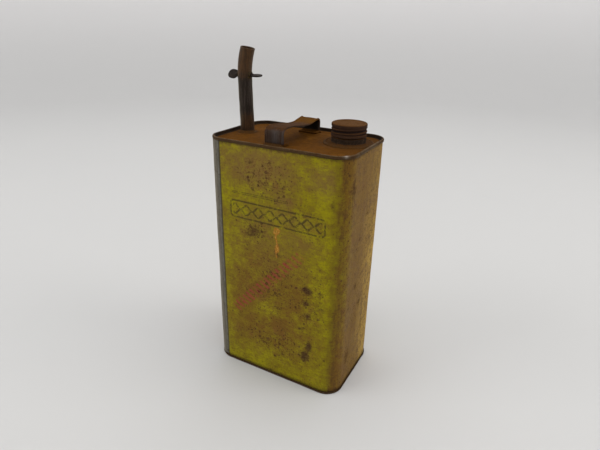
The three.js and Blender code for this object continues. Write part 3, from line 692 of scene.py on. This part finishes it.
def wall_layers(points, normals):
    """Where the film, rust, specks, bare metal and the painted shade of the right front corner lie on the
    wall, one number per point each.
    """
    u = (points[:, 0] - (CX - HALF_W)) / MM
    depth = (points[:, 1] - (CY - HALF_D)) / MM
    z = points[:, 2] / MM
    nx, ny = normals[:, 0], normals[:, 1]
    front, back = smooth(-ny, 0.75, 0.98), smooth(ny, 0.75, 0.98)
    right, left = smooth(nx, 0.2, 0.8), smooth(-nx, 0.2, 0.8)
    back_u = 164 - u
    film = 0.13 + spots(u, z, FRONT_FILM) * front
    film = np.maximum(film, back * (0.35 + spots(back_u, z - 20, FRONT_FILM) * 0.6))
    thin_film = bell(depth, 4, 18) * bell(z, 160, 110)
    film = np.maximum(film, right * (1.05 - 0.50 * thin_film))
    film = np.maximum(film, left * 0.92)
    rust = np.maximum.reduce([
        spots(u, z, FRONT_RUST) * front, spots(depth, z, SIDE_RUST) * right,
        spots(107 - depth, z - 30, SIDE_RUST) * left, spots(back_u + 12, 283 - z, FRONT_RUST) * back])
    low = smooth(26 - z, 0, 26) * 0.30
    specks = np.maximum.reduce([
        0.28 + 0 * z, spots(u, z, FRONT_SPECKS) * front, 0.55 * right, 0.6 * left, 0.62 * back, 0.3 + low])
    corner = np.degrees(np.arctan2(-nx, -ny))  # 0 on the front, 90 on the left side
    turned_to_right = np.degrees(np.arctan2(nx, -ny))
    bare = smooth(corner, 3, 12) * smooth(corner, 62, 54)
    return {"film": film, "rust": np.maximum(rust, low), "specks": specks, "bare": bare,
            "side": np.maximum.reduce([right, left, 0.5 * back]),
            "pale": np.clip(right * smooth(depth, 42, 100) * (0.40 + 0.85 * smooth(CAN_H / MM - z, 20, 150))
                            + left * 0.3 * smooth(depth, 30, 80), 0, 1),
            # the rounded right front corner, which gets painted shade
            "corner": bell(turned_to_right, 42, 26)}


rows = np.linspace(WALL_LOW, WALL_HIGH, 116)
rings, wall_normals = carried([(0, z) for z in rows])
shape = rings.shape
flat_points = rings.reshape(-1, 3)
flat_normals = np.tile(wall_normals, (shape[0], 1))
shifted = flat_points.copy()
shifted[:, :2] += flat_normals * wall_shift(flat_points)[:, None]
body = sheet_of("painted_body", shifted.reshape(shape))
for layer, values in wall_layers(flat_points, flat_normals).items():
    paint_points(body, layer, values)
thicken(body)
piece(body, "can", "painted_tinplate", paint, "body_shell")

# the lap: (degrees round the left front corner, height above the wall in millimetres)
LAP = [
    (17.0, -0.25), (18.5, 0.10), (20.5, 0.34), (22.0, 0.62), (24.0, 0.80), (30.0, 0.76), (38.0, 0.72),
    (46.0, 0.74), (49.0, 0.78), (51.0, 0.55), (52.5, 0.20), (54.0, -0.25)]
lap_lo, lap_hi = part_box("side_seam")
corner_x, corner_y = CX - HALF_W + CORNER_R, CY - HALF_D + CORNER_R
lap_grid = []
for z in np.linspace(lap_lo.z, lap_hi.z, 150):
    row = []
    for degrees, height in LAP:
        turn = radians(-90 - degrees)
        normal = np.array([cos(turn), sin(turn)])
        spot = np.array([[corner_x + CORNER_R * normal[0], corner_y + CORNER_R * normal[1], z]])
        solder = 0.16 * wobble(spot, 3.2 * MM, 1.7)[0] + 0.10 * wobble(spot, 9 * MM, 5.2)[0]
        lift = wall_shift(spot)[0] + (height + solder * (0 < height < 0.7)) * MM
        row.append([spot[0, 0] + normal[0] * lift, spot[0, 1] + normal[1] * lift, z])
    lap_grid.append(row)
lap = solid_of("side_seam_lap", np.array(lap_grid), caps=True)
piece(lap, "can", "bare_tinplate", seam_tin, "side_seam")

# ---- End seams and panels ----

# section of the double seam: (offset from the wall, height from the seam's edge), in millimetres
SEAM = [
    (0.25, -3.2), (0.72, -3.14), (0.96, -2.85), (1.04, -2.3), (1.02, -1.6), (1.0, -0.95),
    (0.82, -0.45), (0.45, -0.12), (0.0, 0.0), (-0.5, 0.0), (-0.95, -0.1), (-1.32, -0.38),
    (-1.6, -0.85), (-1.7, -1.5), (-1.72, -2.3), (-1.82, -2.9), (-2.15, -3.3), (-2.7, -3.46),
    (-3.4, -3.54), (-3.4, -4.1), (-1.3, -4.15), (-1.0, -3.6), (-1.0, -0.8), (0.25, -0.8)]


def seam_ring(name, top):
    """A double seam carried round the can, slightly uneven, with its crest marked for wear, its low places
    for painted shade and a painted glint at the front right corner.
    """
    flip = 1 if top else -1
    edge = CAN_H if top else 0.0
    grid, normals = carried([(a * MM, edge + flip * b * MM) for a, b in SEAM], (14, 2.2 * MM))
    points = grid.reshape(-1, 3)
    normals = np.tile(normals, (len(SEAM), 1))
    free = np.repeat([b > -3.3 for _, b in SEAM], grid.shape[1])
    on_plan = points * [1, 1, 0]
    sway = (0.16 * wobble(on_plan, 26 * MM, 4.4) + 0.07 * wobble(on_plan, 6 * MM, 2.2)) * MM
    points[:, :2] += normals * (sway * free)[:, None]
    if top:
        points[:, 2] += 0.12 * MM * wobble(points * [1, 1, 0], 18 * MM, 9.3) * free
    obj = solid_of(name, points.reshape(grid.shape), wrap_rows=True)
    # the crest marks wear on the seam's top and painted shade on its low underside
    crest = [max(0.0, 1 - abs(a - 0.2) / 1.6) if b > -1.0 else (0.6 if a > 0.9 else 0.12) for a, b in SEAM]
    paint_points(obj, "ridge", np.repeat(crest, grid.shape[1]))
    # a painted glint: a small bright spot on the seam at the front right corner
    glint_spot = np.array([CX + HALF_W - 0.3 * CORNER_R, CY - HALF_D + 0.3 * CORNER_R, CAN_H])
    paint_points(obj, "bright", np.exp(-((points - glint_spot) ** 2).sum(1) / (1.8 * MM) ** 2))
    return obj


def plate(name, z, holes, step=2.6 * MM, flip=1):
    """A recessed end plate with round holes, rippled a little away from its edge and holes."""
    spots_2d, normals = round_outline(12, step)
    loops = [spots_2d - normals * 2.5 * MM]
    for x, y, radius in holes:
        turn = np.arange(56) * 2 * pi / 56
        loops.append(np.column_stack([x + radius * np.cos(turn), y + radius * np.sin(turn)]))
    points = [tuple(p) for loop in loops for p in loop]
    edges, start = [], 0
    for loop in loops:
        edges += [(start + i, start + (i + 1) % len(loop)) for i in range(len(loop))]
        start += len(loop)
    for x in np.arange(CX - HALF_W, CX + HALF_W, step):
        for y in np.arange(CY - HALF_D, CY + HALF_D, step):
            dx = max(abs(x - CX) - (HALF_W - CORNER_R), 0)
            dy = max(abs(y - CY) - (HALF_D - CORNER_R), 0)
            inside = hypot(dx, dy) < CORNER_R - 4 * MM
            if inside and all(hypot(x - hx, y - hy) > r + step / 2 for hx, hy, r in holes):
                points.append((x, y))
    made = delaunay_2d_cdt([Vector(p) for p in points], edges, [], 1, 1e-7)
    flat, faces = np.array([tuple(v) for v in made[0]]), []
    for face in made[2]:
        middle = flat[list(face)].mean(0)
        if all(hypot(middle[0] - hx, middle[1] - hy) > r * 0.98 for hx, hy, r in holes):
            faces.append(tuple(face) if flip > 0 else tuple(face)[::-1])
    rim = np.minimum(HALF_W - np.abs(flat[:, 0] - CX), HALF_D - np.abs(flat[:, 1] - CY))
    free = smooth(rim, 4 * MM, 16 * MM)
    for hx, hy, r in holes:
        free = free * smooth(np.hypot(flat[:, 0] - hx, flat[:, 1] - hy), r + 8 * MM, r + 16 * MM)
    verts = np.column_stack([flat, np.full(len(flat), z)])
    verts[:, 2] += flip * free * MM * (0.28 * wobble(verts, 34 * MM, 6.6) - 0.12)
    obj = add_object(name, verts, faces)
    thicken(obj)
    return obj, flat


for name, at_top in (("top_seam", True), ("bottom_seam", False)):
    piece(seam_ring(name, at_top), "can", "rusted_tinplate", rim_metal)
holes = [(FILLER.x, FILLER.y, 17.2 * MM), (SPOUT_X, 0, 8.1 * MM)]
top_plate, flat = plate("top_plate", PLATE_TOP, holes)
from_filler, from_spout = [np.hypot(flat[:, 0] - x, flat[:, 1] - y) / MM for x, y, _ in holes]
# painted shade on the panel under the strap; the rest of the layer darkens the panel round the spout, in a
# ring round the filler, round the strap's feet and at the right end
shade_under_strap = smooth(16 * MM - np.abs(flat[:, 0] - STRAP_X), 0, 9 * MM) * 0.14
right_end = smooth(flat[:, 0], CX + 30 * MM, CX + 68 * MM) * 0.42
by_feet = 0.5 * bell(flat[:, 0], STRAP_X, 17 * MM) * bell(np.abs(flat[:, 1]), STRAP_Y, 9 * MM)
paint_points(top_plate, "dirt_and_shade", np.maximum.reduce([
    0.75 * bell(from_spout, 0, 17), 0.5 * bell(from_filler, 30, 5), shade_under_strap, by_feet, right_end]))
piece(top_plate, "can", "rusted_tinplate", panel_rust, "top_panel")
bottom_plate, _ = plate("bottom_plate", RECESS, [], step=5 * MM, flip=-1)
piece(bottom_plate, "can", "rusted_tinplate", base_rust, "bottom_panel")


# ---- Filler neck and screw cap ----

def thread_wave(z, angles):
    """0 to 1 across a pitch of the right-handed thread, 1 on its crest."""
    return 0.5 + 0.5 * np.cos(2 * pi * z / PITCH - angles)


def window(z, low, high):
    """1 inside a threaded stretch, fading to 0 over half a pitch at each end."""
    return min(smooth(z, low, low + PITCH / 2), smooth(high - z, 0, PITCH / 2))


def wall_steps(radius, low, high, count):
    return [(radius, z) for z in np.linspace(low, high, count)]


def beside(radius, z, *steps):
    """Profile points at steps in millimetres from a radius and a height."""
    return [(radius + a * MM, z + b * MM) for a, b in steps]


NECK_THREAD = (COLLAR_TOP + 1.4 * MM, NECK_TOP - 0.8 * MM)
CAP_THREAD = (CAP_LOW + 1.9 * MM, CAP_TOP - 3 * MM)
neck_bore = NECK_R - SHEET


def neck_radius(radius, z, angles):
    if radius < neck_bore - 0.1 * MM or radius > NECK_R + 0.1 * MM:
        return np.full(len(angles), radius)
    return radius + THREAD * thread_wave(z, angles) * window(z, *NECK_THREAD)


neck_profile = [
    (COLLAR_R - SHEET, ON_PLATE),
    *beside(FLANGE_R, ON_PLATE, (-0.3, 0), (0, 0.2), (0, 0.5), (-0.25, 0.7), (-2.5, 0.78)),
    *beside(COLLAR_R, ON_PLATE, (1.6, 0.75), (0.7, 0.95), (0.2, 1.4), (0, 2.1)),
    *wall_steps(COLLAR_R, ON_PLATE + 3 * MM, COLLAR_TOP - 1.2 * MM, 4),
    *beside(COLLAR_R, COLLAR_TOP, (-0.2, -0.5), (-0.55, -0.12), (-1, 0)),
    *beside(NECK_R, COLLAR_TOP, (0.3, 0), (0, 0.3)),
    *wall_steps(NECK_R, *NECK_THREAD, 34),
    *beside(NECK_R, NECK_TOP, (0, -0.3), (-0.2, 0)),
    *beside(neck_bore, NECK_TOP, (0.2, 0), (0, -0.3)),
    *wall_steps(neck_bore, *NECK_THREAD[::-1], 34),
    (neck_bore, COLLAR_TOP - SHEET), (COLLAR_R - SHEET, COLLAR_TOP - 1.8 * MM)]
neck = solid_of("filler_neck_sheet", turned(neck_profile, FILLER, 144, neck_radius), wrap_rows=True)
piece(neck, "can", "rusted_neck", neck_metal, "filler_neck")


def cap_radius(radius, z, angles):
    if radius < CAP_R - SHEET - 0.05 * MM or not CAP_THREAD[0] <= z <= CAP_THREAD[1]:
        return np.full(len(angles), radius)
    return radius + THREAD * (thread_wave(z, angles) - 1) * window(z, *CAP_THREAD)


cap_inside = CAP_R - SHEET
cap_profile = [
    (0.4 * MM, CAP_TOP - 0.42 * MM), (5 * MM, CAP_TOP - 0.44 * MM), (10 * MM, CAP_TOP - 0.5 * MM),
    *beside(CAP_R, CAP_TOP, (-4.2, -0.52), (-3.2, -0.42), (-2.6, -0.12), (-2.0, 0), (-1.2, -0.04),
            (-0.55, -0.28), (-0.16, -0.72), (0, -1.3)),
    *wall_steps(CAP_R, CAP_TOP - 1.9 * MM, CAP_THREAD[1] + 0.2 * MM, 4),
    *wall_steps(CAP_R, *CAP_THREAD[::-1], 46),
    *beside(CAP_R, CAP_LOW, (0.12, 1.6), (0.3, 1.25), (0.3, 0.5), (0.1, 0.12), (-0.25, 0)),
    *beside(cap_inside, CAP_LOW, (0.12, 0), (0, 0.15)),
    *wall_steps(cap_inside, *CAP_THREAD, 34),
    *beside(cap_inside, CAP_TOP - SHEET, (0, -1.1), (-0.66, 0)),
    *beside(CAP_R, CAP_TOP - SHEET, (-2.75, 0), (-3.55, -0.5)),
    (0.4 * MM, CAP_TOP - 0.5 * MM - SHEET)]
OUTER_POINTS = 70  # the profile's points up to the cap's lower edge
CAP_COUNT = 160
cap_grid = turned(cap_profile, FILLER, CAP_COUNT, cap_radius)
cap_points = cap_grid.reshape(-1, 3)
outer_side = np.repeat([i < OUTER_POINTS for i in range(len(cap_profile))], CAP_COUNT)
dents = 0.10 * MM * wobble(cap_points, 11 * MM, 2.9) * outer_side
radial = cap_points - np.array([FILLER.x, FILLER.y, 0])
reach = np.hypot(radial[:, 0], radial[:, 1])
cap_points[:, 2] += dents * (reach < CAP_R - 2 * MM)
# the ridge layer: 1 on the crests, low in the thread grooves, where painted shade goes
ridge = np.ones(len(cap_points))
on_wall = (reach > CAP_R - 2 * THREAD) & (cap_points[:, 2] < CAP_TOP - 2 * MM)
ridge[on_wall] = smooth((reach[on_wall] - (CAP_R - THREAD)) / THREAD, 0.0, 1.0)
cap_grid = cap_points.reshape(cap_grid.shape)
cap = solid_of("screw_cap", cap_grid, caps=True)
paint_points(cap, "ridge", ridge)
piece(cap, "cap", "rusted_cap", cap_metal, "filler_cap")


def solder_ring(name, centre, profile, node):
    """A lumpy fillet of solder round a pipe or flange: (radius, height) in millimetres."""
    slack = 0.22
    grid = turned([(r * MM, ON_PLATE + h * MM) for r, h in profile], centre, 110)
    points = grid.reshape(-1, 3)
    out = points - np.array([centre.x, centre.y, 0])
    radius = np.hypot(out[:, 0], out[:, 1])
    outer = smooth((radius / MM - profile[0][0]) / (max(r for r, _ in profile) - profile[0][0]))
    lumps = wobble(points, 6 * MM, 3.7) + 0.5 * wobble(points, 2.2 * MM, 1.3)
    points[:, :2] += out[:, :2] / radius[:, None] * (lumps * outer * slack * 2.2 * MM)[:, None]
    points[:, 2] += lumps * slack * MM * (points[:, 2] > ON_PLATE + 0.15 * MM)
    obj = solid_of(name, points.reshape(grid.shape), wrap_rows=True)
    piece(obj, "can", "solder", solder_metal, node)


flange = FLANGE_R / MM
solder_ring("neck_solder", FILLER, [
    (flange - 0.4, -0.35), (flange + 2.6, -0.35), (flange + 2.2, 0.1), (flange + 1.5, 0.5),
    (flange + 0.9, 0.8), (flange + 0.3, 1.0), (flange - 0.1, 1.02), (flange - 0.4, 0.9)],
    "filler_neck_solder")
tube = SPOUT_R / MM
solder_ring("spout_base_solder", Vector((SPOUT_X, 0, 0)), [
    (tube - 0.5, -0.35), (tube + 2.8, -0.35), (tube + 2.3, 0.1), (tube + 1.4, 0.6), (tube + 0.8, 1.2),
    (tube + 0.4, 1.8), (tube + 0.05, 2.2), (tube - 0.5, 2.3)], "spout_solder")


# ---- Spout ----

def spout_axis(along):
    """A point on the spout's axis and its direction, at a length from the top panel."""
    angle = max(0.0, along - SPOUT_STRAIGHT) / BEND_R
    side = BEND_R * (1 - cos(angle))
    up = min(along, SPOUT_STRAIGHT) + BEND_R * sin(angle)
    lean = Matrix.Rotation(-SPOUT_LEAN, 3, "Y")
    turn = Vector((cos(BEND_TURN), sin(BEND_TURN), 0))
    place = lean @ (turn * side + Vector((0, 0, up)))
    direction = lean @ (turn * sin(angle) + Vector((0, 0, cos(angle))))
    return Vector((SPOUT_X, 0, PLATE_TOP)) + place, direction


SPOUT_END = SPOUT_STRAIGHT + BEND_R * BEND_ANGLE
COUNT = 72
spout_rows = []
lip = beside(SPOUT_R, SPOUT_END, (0, -0.5), (-0.12, -0.15), (-0.35, 0))
lip += beside(SPOUT_BORE, SPOUT_END, (0.3, 0), (0.08, -0.15), (0, -0.5))
stations = [(SPOUT_R, a) for a in np.linspace(-SPOUT_INSIDE, SPOUT_END - 1.2 * MM, 90)]
stations += lip
stations += [(SPOUT_BORE, a) for a in np.linspace(SPOUT_END - 1.2 * MM, -SPOUT_INSIDE, 46)]
axis = [spout_axis(along) for _, along in stations]
for (radius, _), (centre, direction) in zip(stations, axis):
    across = direction.cross(Vector((0, 1, 0))).normalized()
    other = direction.cross(across)
    turns = [2 * pi * i / COUNT for i in range(COUNT)]
    spout_rows.append([tuple(centre + (cos(t) * across + sin(t) * other) * radius) for t in turns])
spout_grid = np.array(spout_rows)
spout_points = spout_grid.reshape(-1, 3)
axis_points = np.repeat([tuple(centre) for centre, _ in axis], COUNT, axis=0)
out = spout_points - axis_points
out /= np.linalg.norm(out, axis=1)[:, None]
bumps = 0.16 * MM * wobble(axis_points + out * SPOUT_R, 12 * MM, 5.5) - 0.06 * MM
above = smooth(axis_points[:, 2] - PLATE_TOP, 0, 6 * MM)
spout_points = spout_points + out * (bumps * above)[:, None]
# the mouth is cut a little askew, longer at its right and rear
skew = (out @ np.array([0.080, 0.070, 0])) * SPOUT_R
lengthwise = np.repeat([tuple(direction) for _, direction in axis], COUNT, axis=0)
near_mouth = np.repeat(smooth([a for _, a in stations], SPOUT_END - 14 * MM, SPOUT_END), COUNT)
spout_points = spout_points + lengthwise * (skew * near_mouth)[:, None]
spout = solid_of("spout_pipe", spout_points.reshape(spout_grid.shape), wrap_rows=True)
piece(spout, "can", "spout_steel", spout_metal, "spout_tube")


# ---- Butterfly tap ----

def bush(name, side, node):
    """A short bush brazed to the pipe round the spindle, with a lumpy fillet."""
    profile = [(2.1, 6.6), (4.7, 6.6), (4.4, 7.3), (3.9, 7.7), (3.5, 7.95), (3.2, 8.15), (3.0, 8.3),
               (2.8, 8.36), (2.3, 8.36), (2.1, 8.2)]
    count = 64
    turns = [2 * pi * i / count for i in range(count)]
    points = np.array([(side * reach * MM, radius * MM * cos(t), radius * MM * sin(t))
                       for radius, reach in profile for t in turns])
    lumps = wobble(points, 2.4 * MM, 7.7 + side)
    scale = 1 + 0.07 * lumps * (np.hypot(points[:, 1], points[:, 2]) > 2.9 * MM)
    points[:, 1:] *= scale[:, None]
    points += np.array(TAP)
    obj = solid_of(name, points.reshape(len(profile), count, 3), wrap_rows=True)
    piece(obj, "can", "tap_brass", brass_metal, node)


bush("tap_bush_braze_left", -1, "tap_bush_left")
bush("tap_bush_braze_right", 1, "tap_bush_right")


def lobe(side, twist, skew, half_width):
    """One flattened ear: a rounded oval with softened edges."""
    centre = Vector((side * (EAR_ROOT + EAR_TIP) / 2, 0, 0))
    half = (EAR_TIP - EAR_ROOT) / 2
    turn = Matrix.Rotation(twist, 3, "X") @ Matrix.Rotation(skew, 3, "Z")

    def bulge(value, power):
        return copysign(abs(value) ** power, value)

    rows = []
    for v in [pi * j / 18 for j in range(19)]:
        reach = max(sin(v), 1e-4) ** 0.55
        row = []
        for t in [2 * pi * i / 48 for i in range(48)]:
            x = half * reach * bulge(cos(t), 0.85)
            y = half_width * reach * bulge(sin(t), 0.85)
            z = EAR_HALF_T * bulge(cos(v), 0.45)
            row.append(tuple(turn @ Vector((x, y, z)) + centre + TAP))
        rows.append(row)
    return solid_of("lobe", np.array(rows), caps=True)


def rod():
    """The round spindle, swelling to a shoulder where each ear starts."""
    rows = []
    profile = [(13.4, 0.7), (12.6, 1.2), (11.4, 1.6), (10.2, 1.9), (9.2, 2.0), (8.7, 1.9), (8.5, 1.7)]
    profile += [(x, 1.7) for x in np.linspace(8.3, -8.3, 24)] + [(-x, r) for x, r in profile[::-1]]
    for x, radius in profile:
        rows.append([tuple(TAP + MM * Vector((x, radius * cos(t), radius * sin(t))))
                     for t in np.arange(28) * 2 * pi / 28])
    return solid_of("rod", np.array(rows), caps=True)


def merged(name, parts, voxel, smoothing):
    """One evenly meshed solid from overlapping closed parts."""
    bpy.ops.object.select_all(action="DESELECT")
    for part in parts:
        part.select_set(True)
    bpy.context.view_layer.objects.active = parts[0]
    bpy.ops.object.join()
    obj = parts[0]
    obj.name = obj.data.name = name
    remesh = obj.modifiers.new("even", "REMESH")
    remesh.mode, remesh.voxel_size, remesh.use_smooth_shade = "VOXEL", voxel, True
    relax = obj.modifiers.new("relax", "SMOOTH")
    relax.factor, relax.iterations = 0.5, smoothing
    for modifier in ("even", "relax"):
        bpy.ops.object.modifier_apply(modifier=modifier)
    return obj


spindle = merged("tap_spindle_ears", [
    rod(), lobe(-1, radians(54), radians(-8), 5.5 * MM),
    lobe(1, radians(8), 0, 4.8 * MM)], 0.3 * MM, 3)
piece(spindle, "tap", "spindle_steel", ear_metal, "tap_spindle")


# ---- Strap handle ----

def spline(before, start, end, after, s):
    """A point on the smooth curve from start to end, at a share s of the way."""
    return 0.5 * (2 * start + (end - before) * s + (2 * before - 5 * start + 4 * end - after) * s ** 2
                  + (3 * start - before - 3 * end + after) * s ** 3)


def strap_path():
    """Side view of the strap's middle surface in (y, z), from its front foot to its rear foot."""
    foot_z = strap_lo.z + 1.0 * MM
    heel, front_bend, rear_bend = 2 * MM, 6.5 * MM, 4.5 * MM
    front_z, rear_z, y = 297 * MM, 295.4 * MM, STRAP_Y

    def arc(cy, cz, r, start, end, count):
        return [(cy + r * cos(t), cz + r * sin(t)) for t in np.linspace(start, end, count)]

    path = [(-y + s * MM, foot_z) for s in (10, 7.5, 5, 3.5)]
    path += arc(-y + heel, foot_z + heel, heel, -pi / 2, -pi, 7)
    leg = foot_z + heel
    path += [(-y, leg + (front_z - front_bend - leg) * k / 5) for k in range(1, 5)]
    path += arc(-y + front_bend, front_z - front_bend, front_bend, pi, pi / 2, 12)
    knots = [(-y + front_bend, front_z), *[(a * MM, b * MM) for a, b in STRAP_SAG], (y - rear_bend, rear_z)]
    knots = [(2 * knots[0][0] - knots[1][0], front_z), *knots, (y, rear_z - 1.2 * MM)]
    for k in range(1, len(knots) - 2):
        near = [np.array(q) for q in knots[k - 1:k + 3]]
        path += [tuple(spline(*near, s)) for s in np.linspace(0, 1, 9)[1:]]
    path += arc(y - rear_bend, rear_z - rear_bend, rear_bend, pi / 2, 0, 10)[1:]
    leg_top = rear_z - rear_bend
    path += [(y, leg_top + (leg - leg_top) * k / 5) for k in range(1, 5)]
    path += arc(y - heel, foot_z + heel, heel, 0, -pi / 2, 7)
    path += [(y - s * MM, foot_z) for s in (3.5, 5, 7.5, 10)]
    return np.array(path)


def strap_section():
    """(x, height) round the strap's section: a thin web, a shallow middle rib and rolled edges."""
    web, roll, hem = 0.45, 1.0, 1.15
    half = STRAP_HALF_W / MM

    def rolled(middle, start, end):
        turns = np.linspace(start, end, 9)
        return [(middle + roll * cos(t) * 1.15, roll * sin(t)) for t in turns]

    upper = rolled(hem - half, pi, 0.45)
    upper += [(-half + 3.0, web), (-6.6, web), (-4.0, web + 0.05), (-1.6, web + 0.12), (1.6, web + 0.12),
              (4.0, web + 0.05), (6.6, web), (half - 3.0, web)]
    upper += rolled(half - hem, pi - 0.45, 0)
    lower = [(x, -h) for x, h in upper[::-1][1:-1]]
    return upper + lower


strap_line = strap_path()
step_before, step_after = np.roll(strap_line, 1, 0), np.roll(strap_line, -1, 0)
step_before[0], step_after[-1] = strap_line[0], strap_line[-1]
heading = step_after - step_before
heading /= np.linalg.norm(heading, axis=1)[:, None]
section = strap_section()
strap_rows = []
for (y, z), (ty, tz) in zip(strap_line, heading):
    strap_rows.append([(STRAP_X + x * MM, y - tz * h * MM, z + ty * h * MM) for x, h in section])
strap_grid = np.array(strap_rows)
strap_points = strap_grid.reshape(-1, 3)
raised = smooth(strap_points[:, 2] - PLATE_TOP, 3 * MM, 9 * MM)
strap_points[:, 2] += 0.22 * MM * wobble(strap_points, 11 * MM, 6.1) * raised
strap_points[:, 0] += 0.18 * MM * wobble(strap_points * [0, 1, 1], 16 * MM, 1.9) * raised
strap = solid_of("strap_handle", strap_points.reshape(strap_grid.shape), caps=True)
across, lengthways, level = strap_points.T
# the strap's inner face, which gets painted shade
shaded_underside = [1.0 if h < 0 and abs(x) < STRAP_HALF_W / MM - 2.4 else 0.0 for x, h in section]
shaded_underside = np.tile(shaded_underside, len(strap_line))
# painted shade low on the strap, near the panel
foot_shade = smooth(PLATE_TOP + 5 * MM - level, 0, 5 * MM) * 0.6
paint_points(strap, "shaded_underside", np.maximum(shaded_underside, foot_shade))
across = (across - STRAP_X) / MM
# where the painted sheen lies on the front leg: a band near the middle and the right hem
on_leg = smooth(-lengthways, STRAP_Y - 3 * MM, STRAP_Y) * smooth(level, PLATE_TOP + 2 * MM, CAN_H)
rubbed = np.maximum(bell(across, 1, 4.5), 0.8 * smooth(across, 8.2, 9.6))
paint_points(strap, "leg", on_leg * rubbed * (1 - shaded_underside))
paint_points(strap, "foot", smooth(PLATE_TOP + 3.4 * MM - level, 0, 1.2 * MM))
on_hump = smooth(lengthways, 9 * MM, 24 * MM) * smooth(level, 291 * MM, 293 * MM)
paint_points(strap, "hump", on_hump * (1 - shaded_underside))
piece(strap, "can", "strap_steel", strap_metal, "handle_strap")


def foot_solder(name, side, node):
    """A run of solder along the outside of one leg."""
    near = STRAP_Y + 0.7 * MM
    profile = [(0.0, -0.35), (3.6, -0.35), (3.0, 0.1), (2.1, 0.5), (1.3, 1.1), (0.8, 1.8), (0.45, 2.3),
               (0.0, 2.4)]
    rows = []
    length = STRAP_HALF_W + 1.2 * MM
    for x in np.linspace(-length, length, 46):
        taper = 0.35 + 0.65 * smooth(length - abs(x), 0, 4 * MM)
        rows.append([(STRAP_X + x, side * (near + out * MM * (taper if out else 1)),
                      ON_PLATE + (h if h < 0 else h * taper) * MM) for out, h in profile])
    points = np.array(rows).reshape(-1, 3)
    lumps = wobble(points, 4.5 * MM, 2.6 + side)
    outer = np.tile([0 if out == 0 else 1 for out, _ in profile], len(rows))
    points[:, 1] += side * 0.35 * MM * lumps * outer
    points[:, 2] += 0.22 * MM * lumps * (points[:, 2] > ON_PLATE)
    obj = solid_of(name, points.reshape(len(rows), len(profile), 3), caps=True)
    piece(obj, "can", "solder", solder_metal, node)


foot_solder("strap_solder_front", -1, "handle_front_solder")
foot_solder("strap_solder_rear", 1, "handle_rear_solder")

# ---- CAD nodes that stay, with a better material ----

kept = {"cap_wad": cork(), "cap_wad_foil": foil(), "top_seam_gasket": compound(), "tap_disc": brass_metal,
        "tap_disc_rivet_1": brass_metal, "tap_disc_rivet_2": brass_metal}
kept["bottom_seam_gasket"] = kept["top_seam_gasket"]
for name, material in kept.items():
    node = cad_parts[name]
    node.data.materials.clear()
    node.data.materials.append(material)

# ---- Floor, light and camera ----

azimuth, tilt, roll = radians(28.09), radians(23.77), radians(1.32)
# a round cove: flat floor, a curved rise and a low wall, alike from every side
COVE_R, RISE_R, COVE_H = 3.6, 1.5, 2.6
cove = [(r, 0.0) for r in (0.001, 0.4, 1.2, COVE_R - RISE_R)]
cove += [(COVE_R - RISE_R + RISE_R * sin(t), RISE_R - RISE_R * cos(t))
         for t in np.linspace(0.1, pi / 2, 14)]
cove += [(COVE_R, COVE_H)]
floor = sheet_of("studio_cove", turned(cove, Vector((0, 0, 0)), 96))
studio = Graph("studio_cove")
rise = studio.step(studio.z, 0, 900)
studio_tone = studio.mix(rise, (0.62, 0.62, 0.615), (0.94, 0.925, 0.925))
studio_tone = studio.mix(studio.noise(400, 2) * 0.2, studio_tone, (0.70, 0.69, 0.68))
floor.data.materials.append(studio.finish(studio_tone, 0.8, 0.0, studio.noise(2, 3), 0.05, 0.1))

world = bpy.data.worlds.new("studio")
bpy.context.scene.world = world
world.use_nodes = True
sky = world.node_tree.nodes["Background"]
sky.inputs[0].default_value = (0.97, 0.98, 1.0, 1)
sky.inputs[1].default_value = 0.62


def softbox(name, place, target, size, power, color):
    """A rectangular area light at a place, turned to a target."""
    light = bpy.data.lights.new(name, "AREA")
    light.shape, light.size, light.size_y = "RECTANGLE", *size
    light.energy, light.color = power, color
    obj = bpy.data.objects.new(name, light)
    bpy.context.scene.collection.objects.link(obj)
    obj.location = place
    obj.rotation_euler = (Vector(target) - Vector(place)).to_track_quat("-Z", "Y").to_euler()


softbox("overhead", (0.1, 0.4, 2.7), (0, 0.1, 0.1), (3.0, 2.6), 28.5, (1.0, 0.985, 0.96))
softbox("left", (-1.7, -1.5, 1.5), (0, 0, 0.15), (1.4, 1.2), 15.5, (1.0, 0.99, 0.97))
softbox("right", (2.0, 0.6, 1.5), (0, 0, 0.15), (1.2, 1.2), 13, (1.0, 0.97, 0.93))

forward = Vector((-sin(azimuth) * cos(tilt), cos(azimuth) * cos(tilt), -sin(tilt)))
right = forward.cross(Vector((0, 0, 1))).normalized()
up = right.cross(forward)
right, up = (right * cos(roll) + up * sin(roll), up * cos(roll) - right * sin(roll))
lens = bpy.data.cameras.new("view")
lens.lens, lens.sensor_width, lens.clip_start = 27.73, 36, 0.01
camera = bpy.data.objects.new("view", lens)
bpy.context.scene.collection.objects.link(camera)
rotation = Matrix((right, up, -forward)).transposed().to_4x4()
camera.matrix_world = Matrix.Translation((CX + 0.2345, -0.4310, 0.3945)) @ rotation
bpy.context.scene.camera = camera
bpy.context.scene.view_settings.view_transform = "Standard"

bpy.context.view_layer.update()
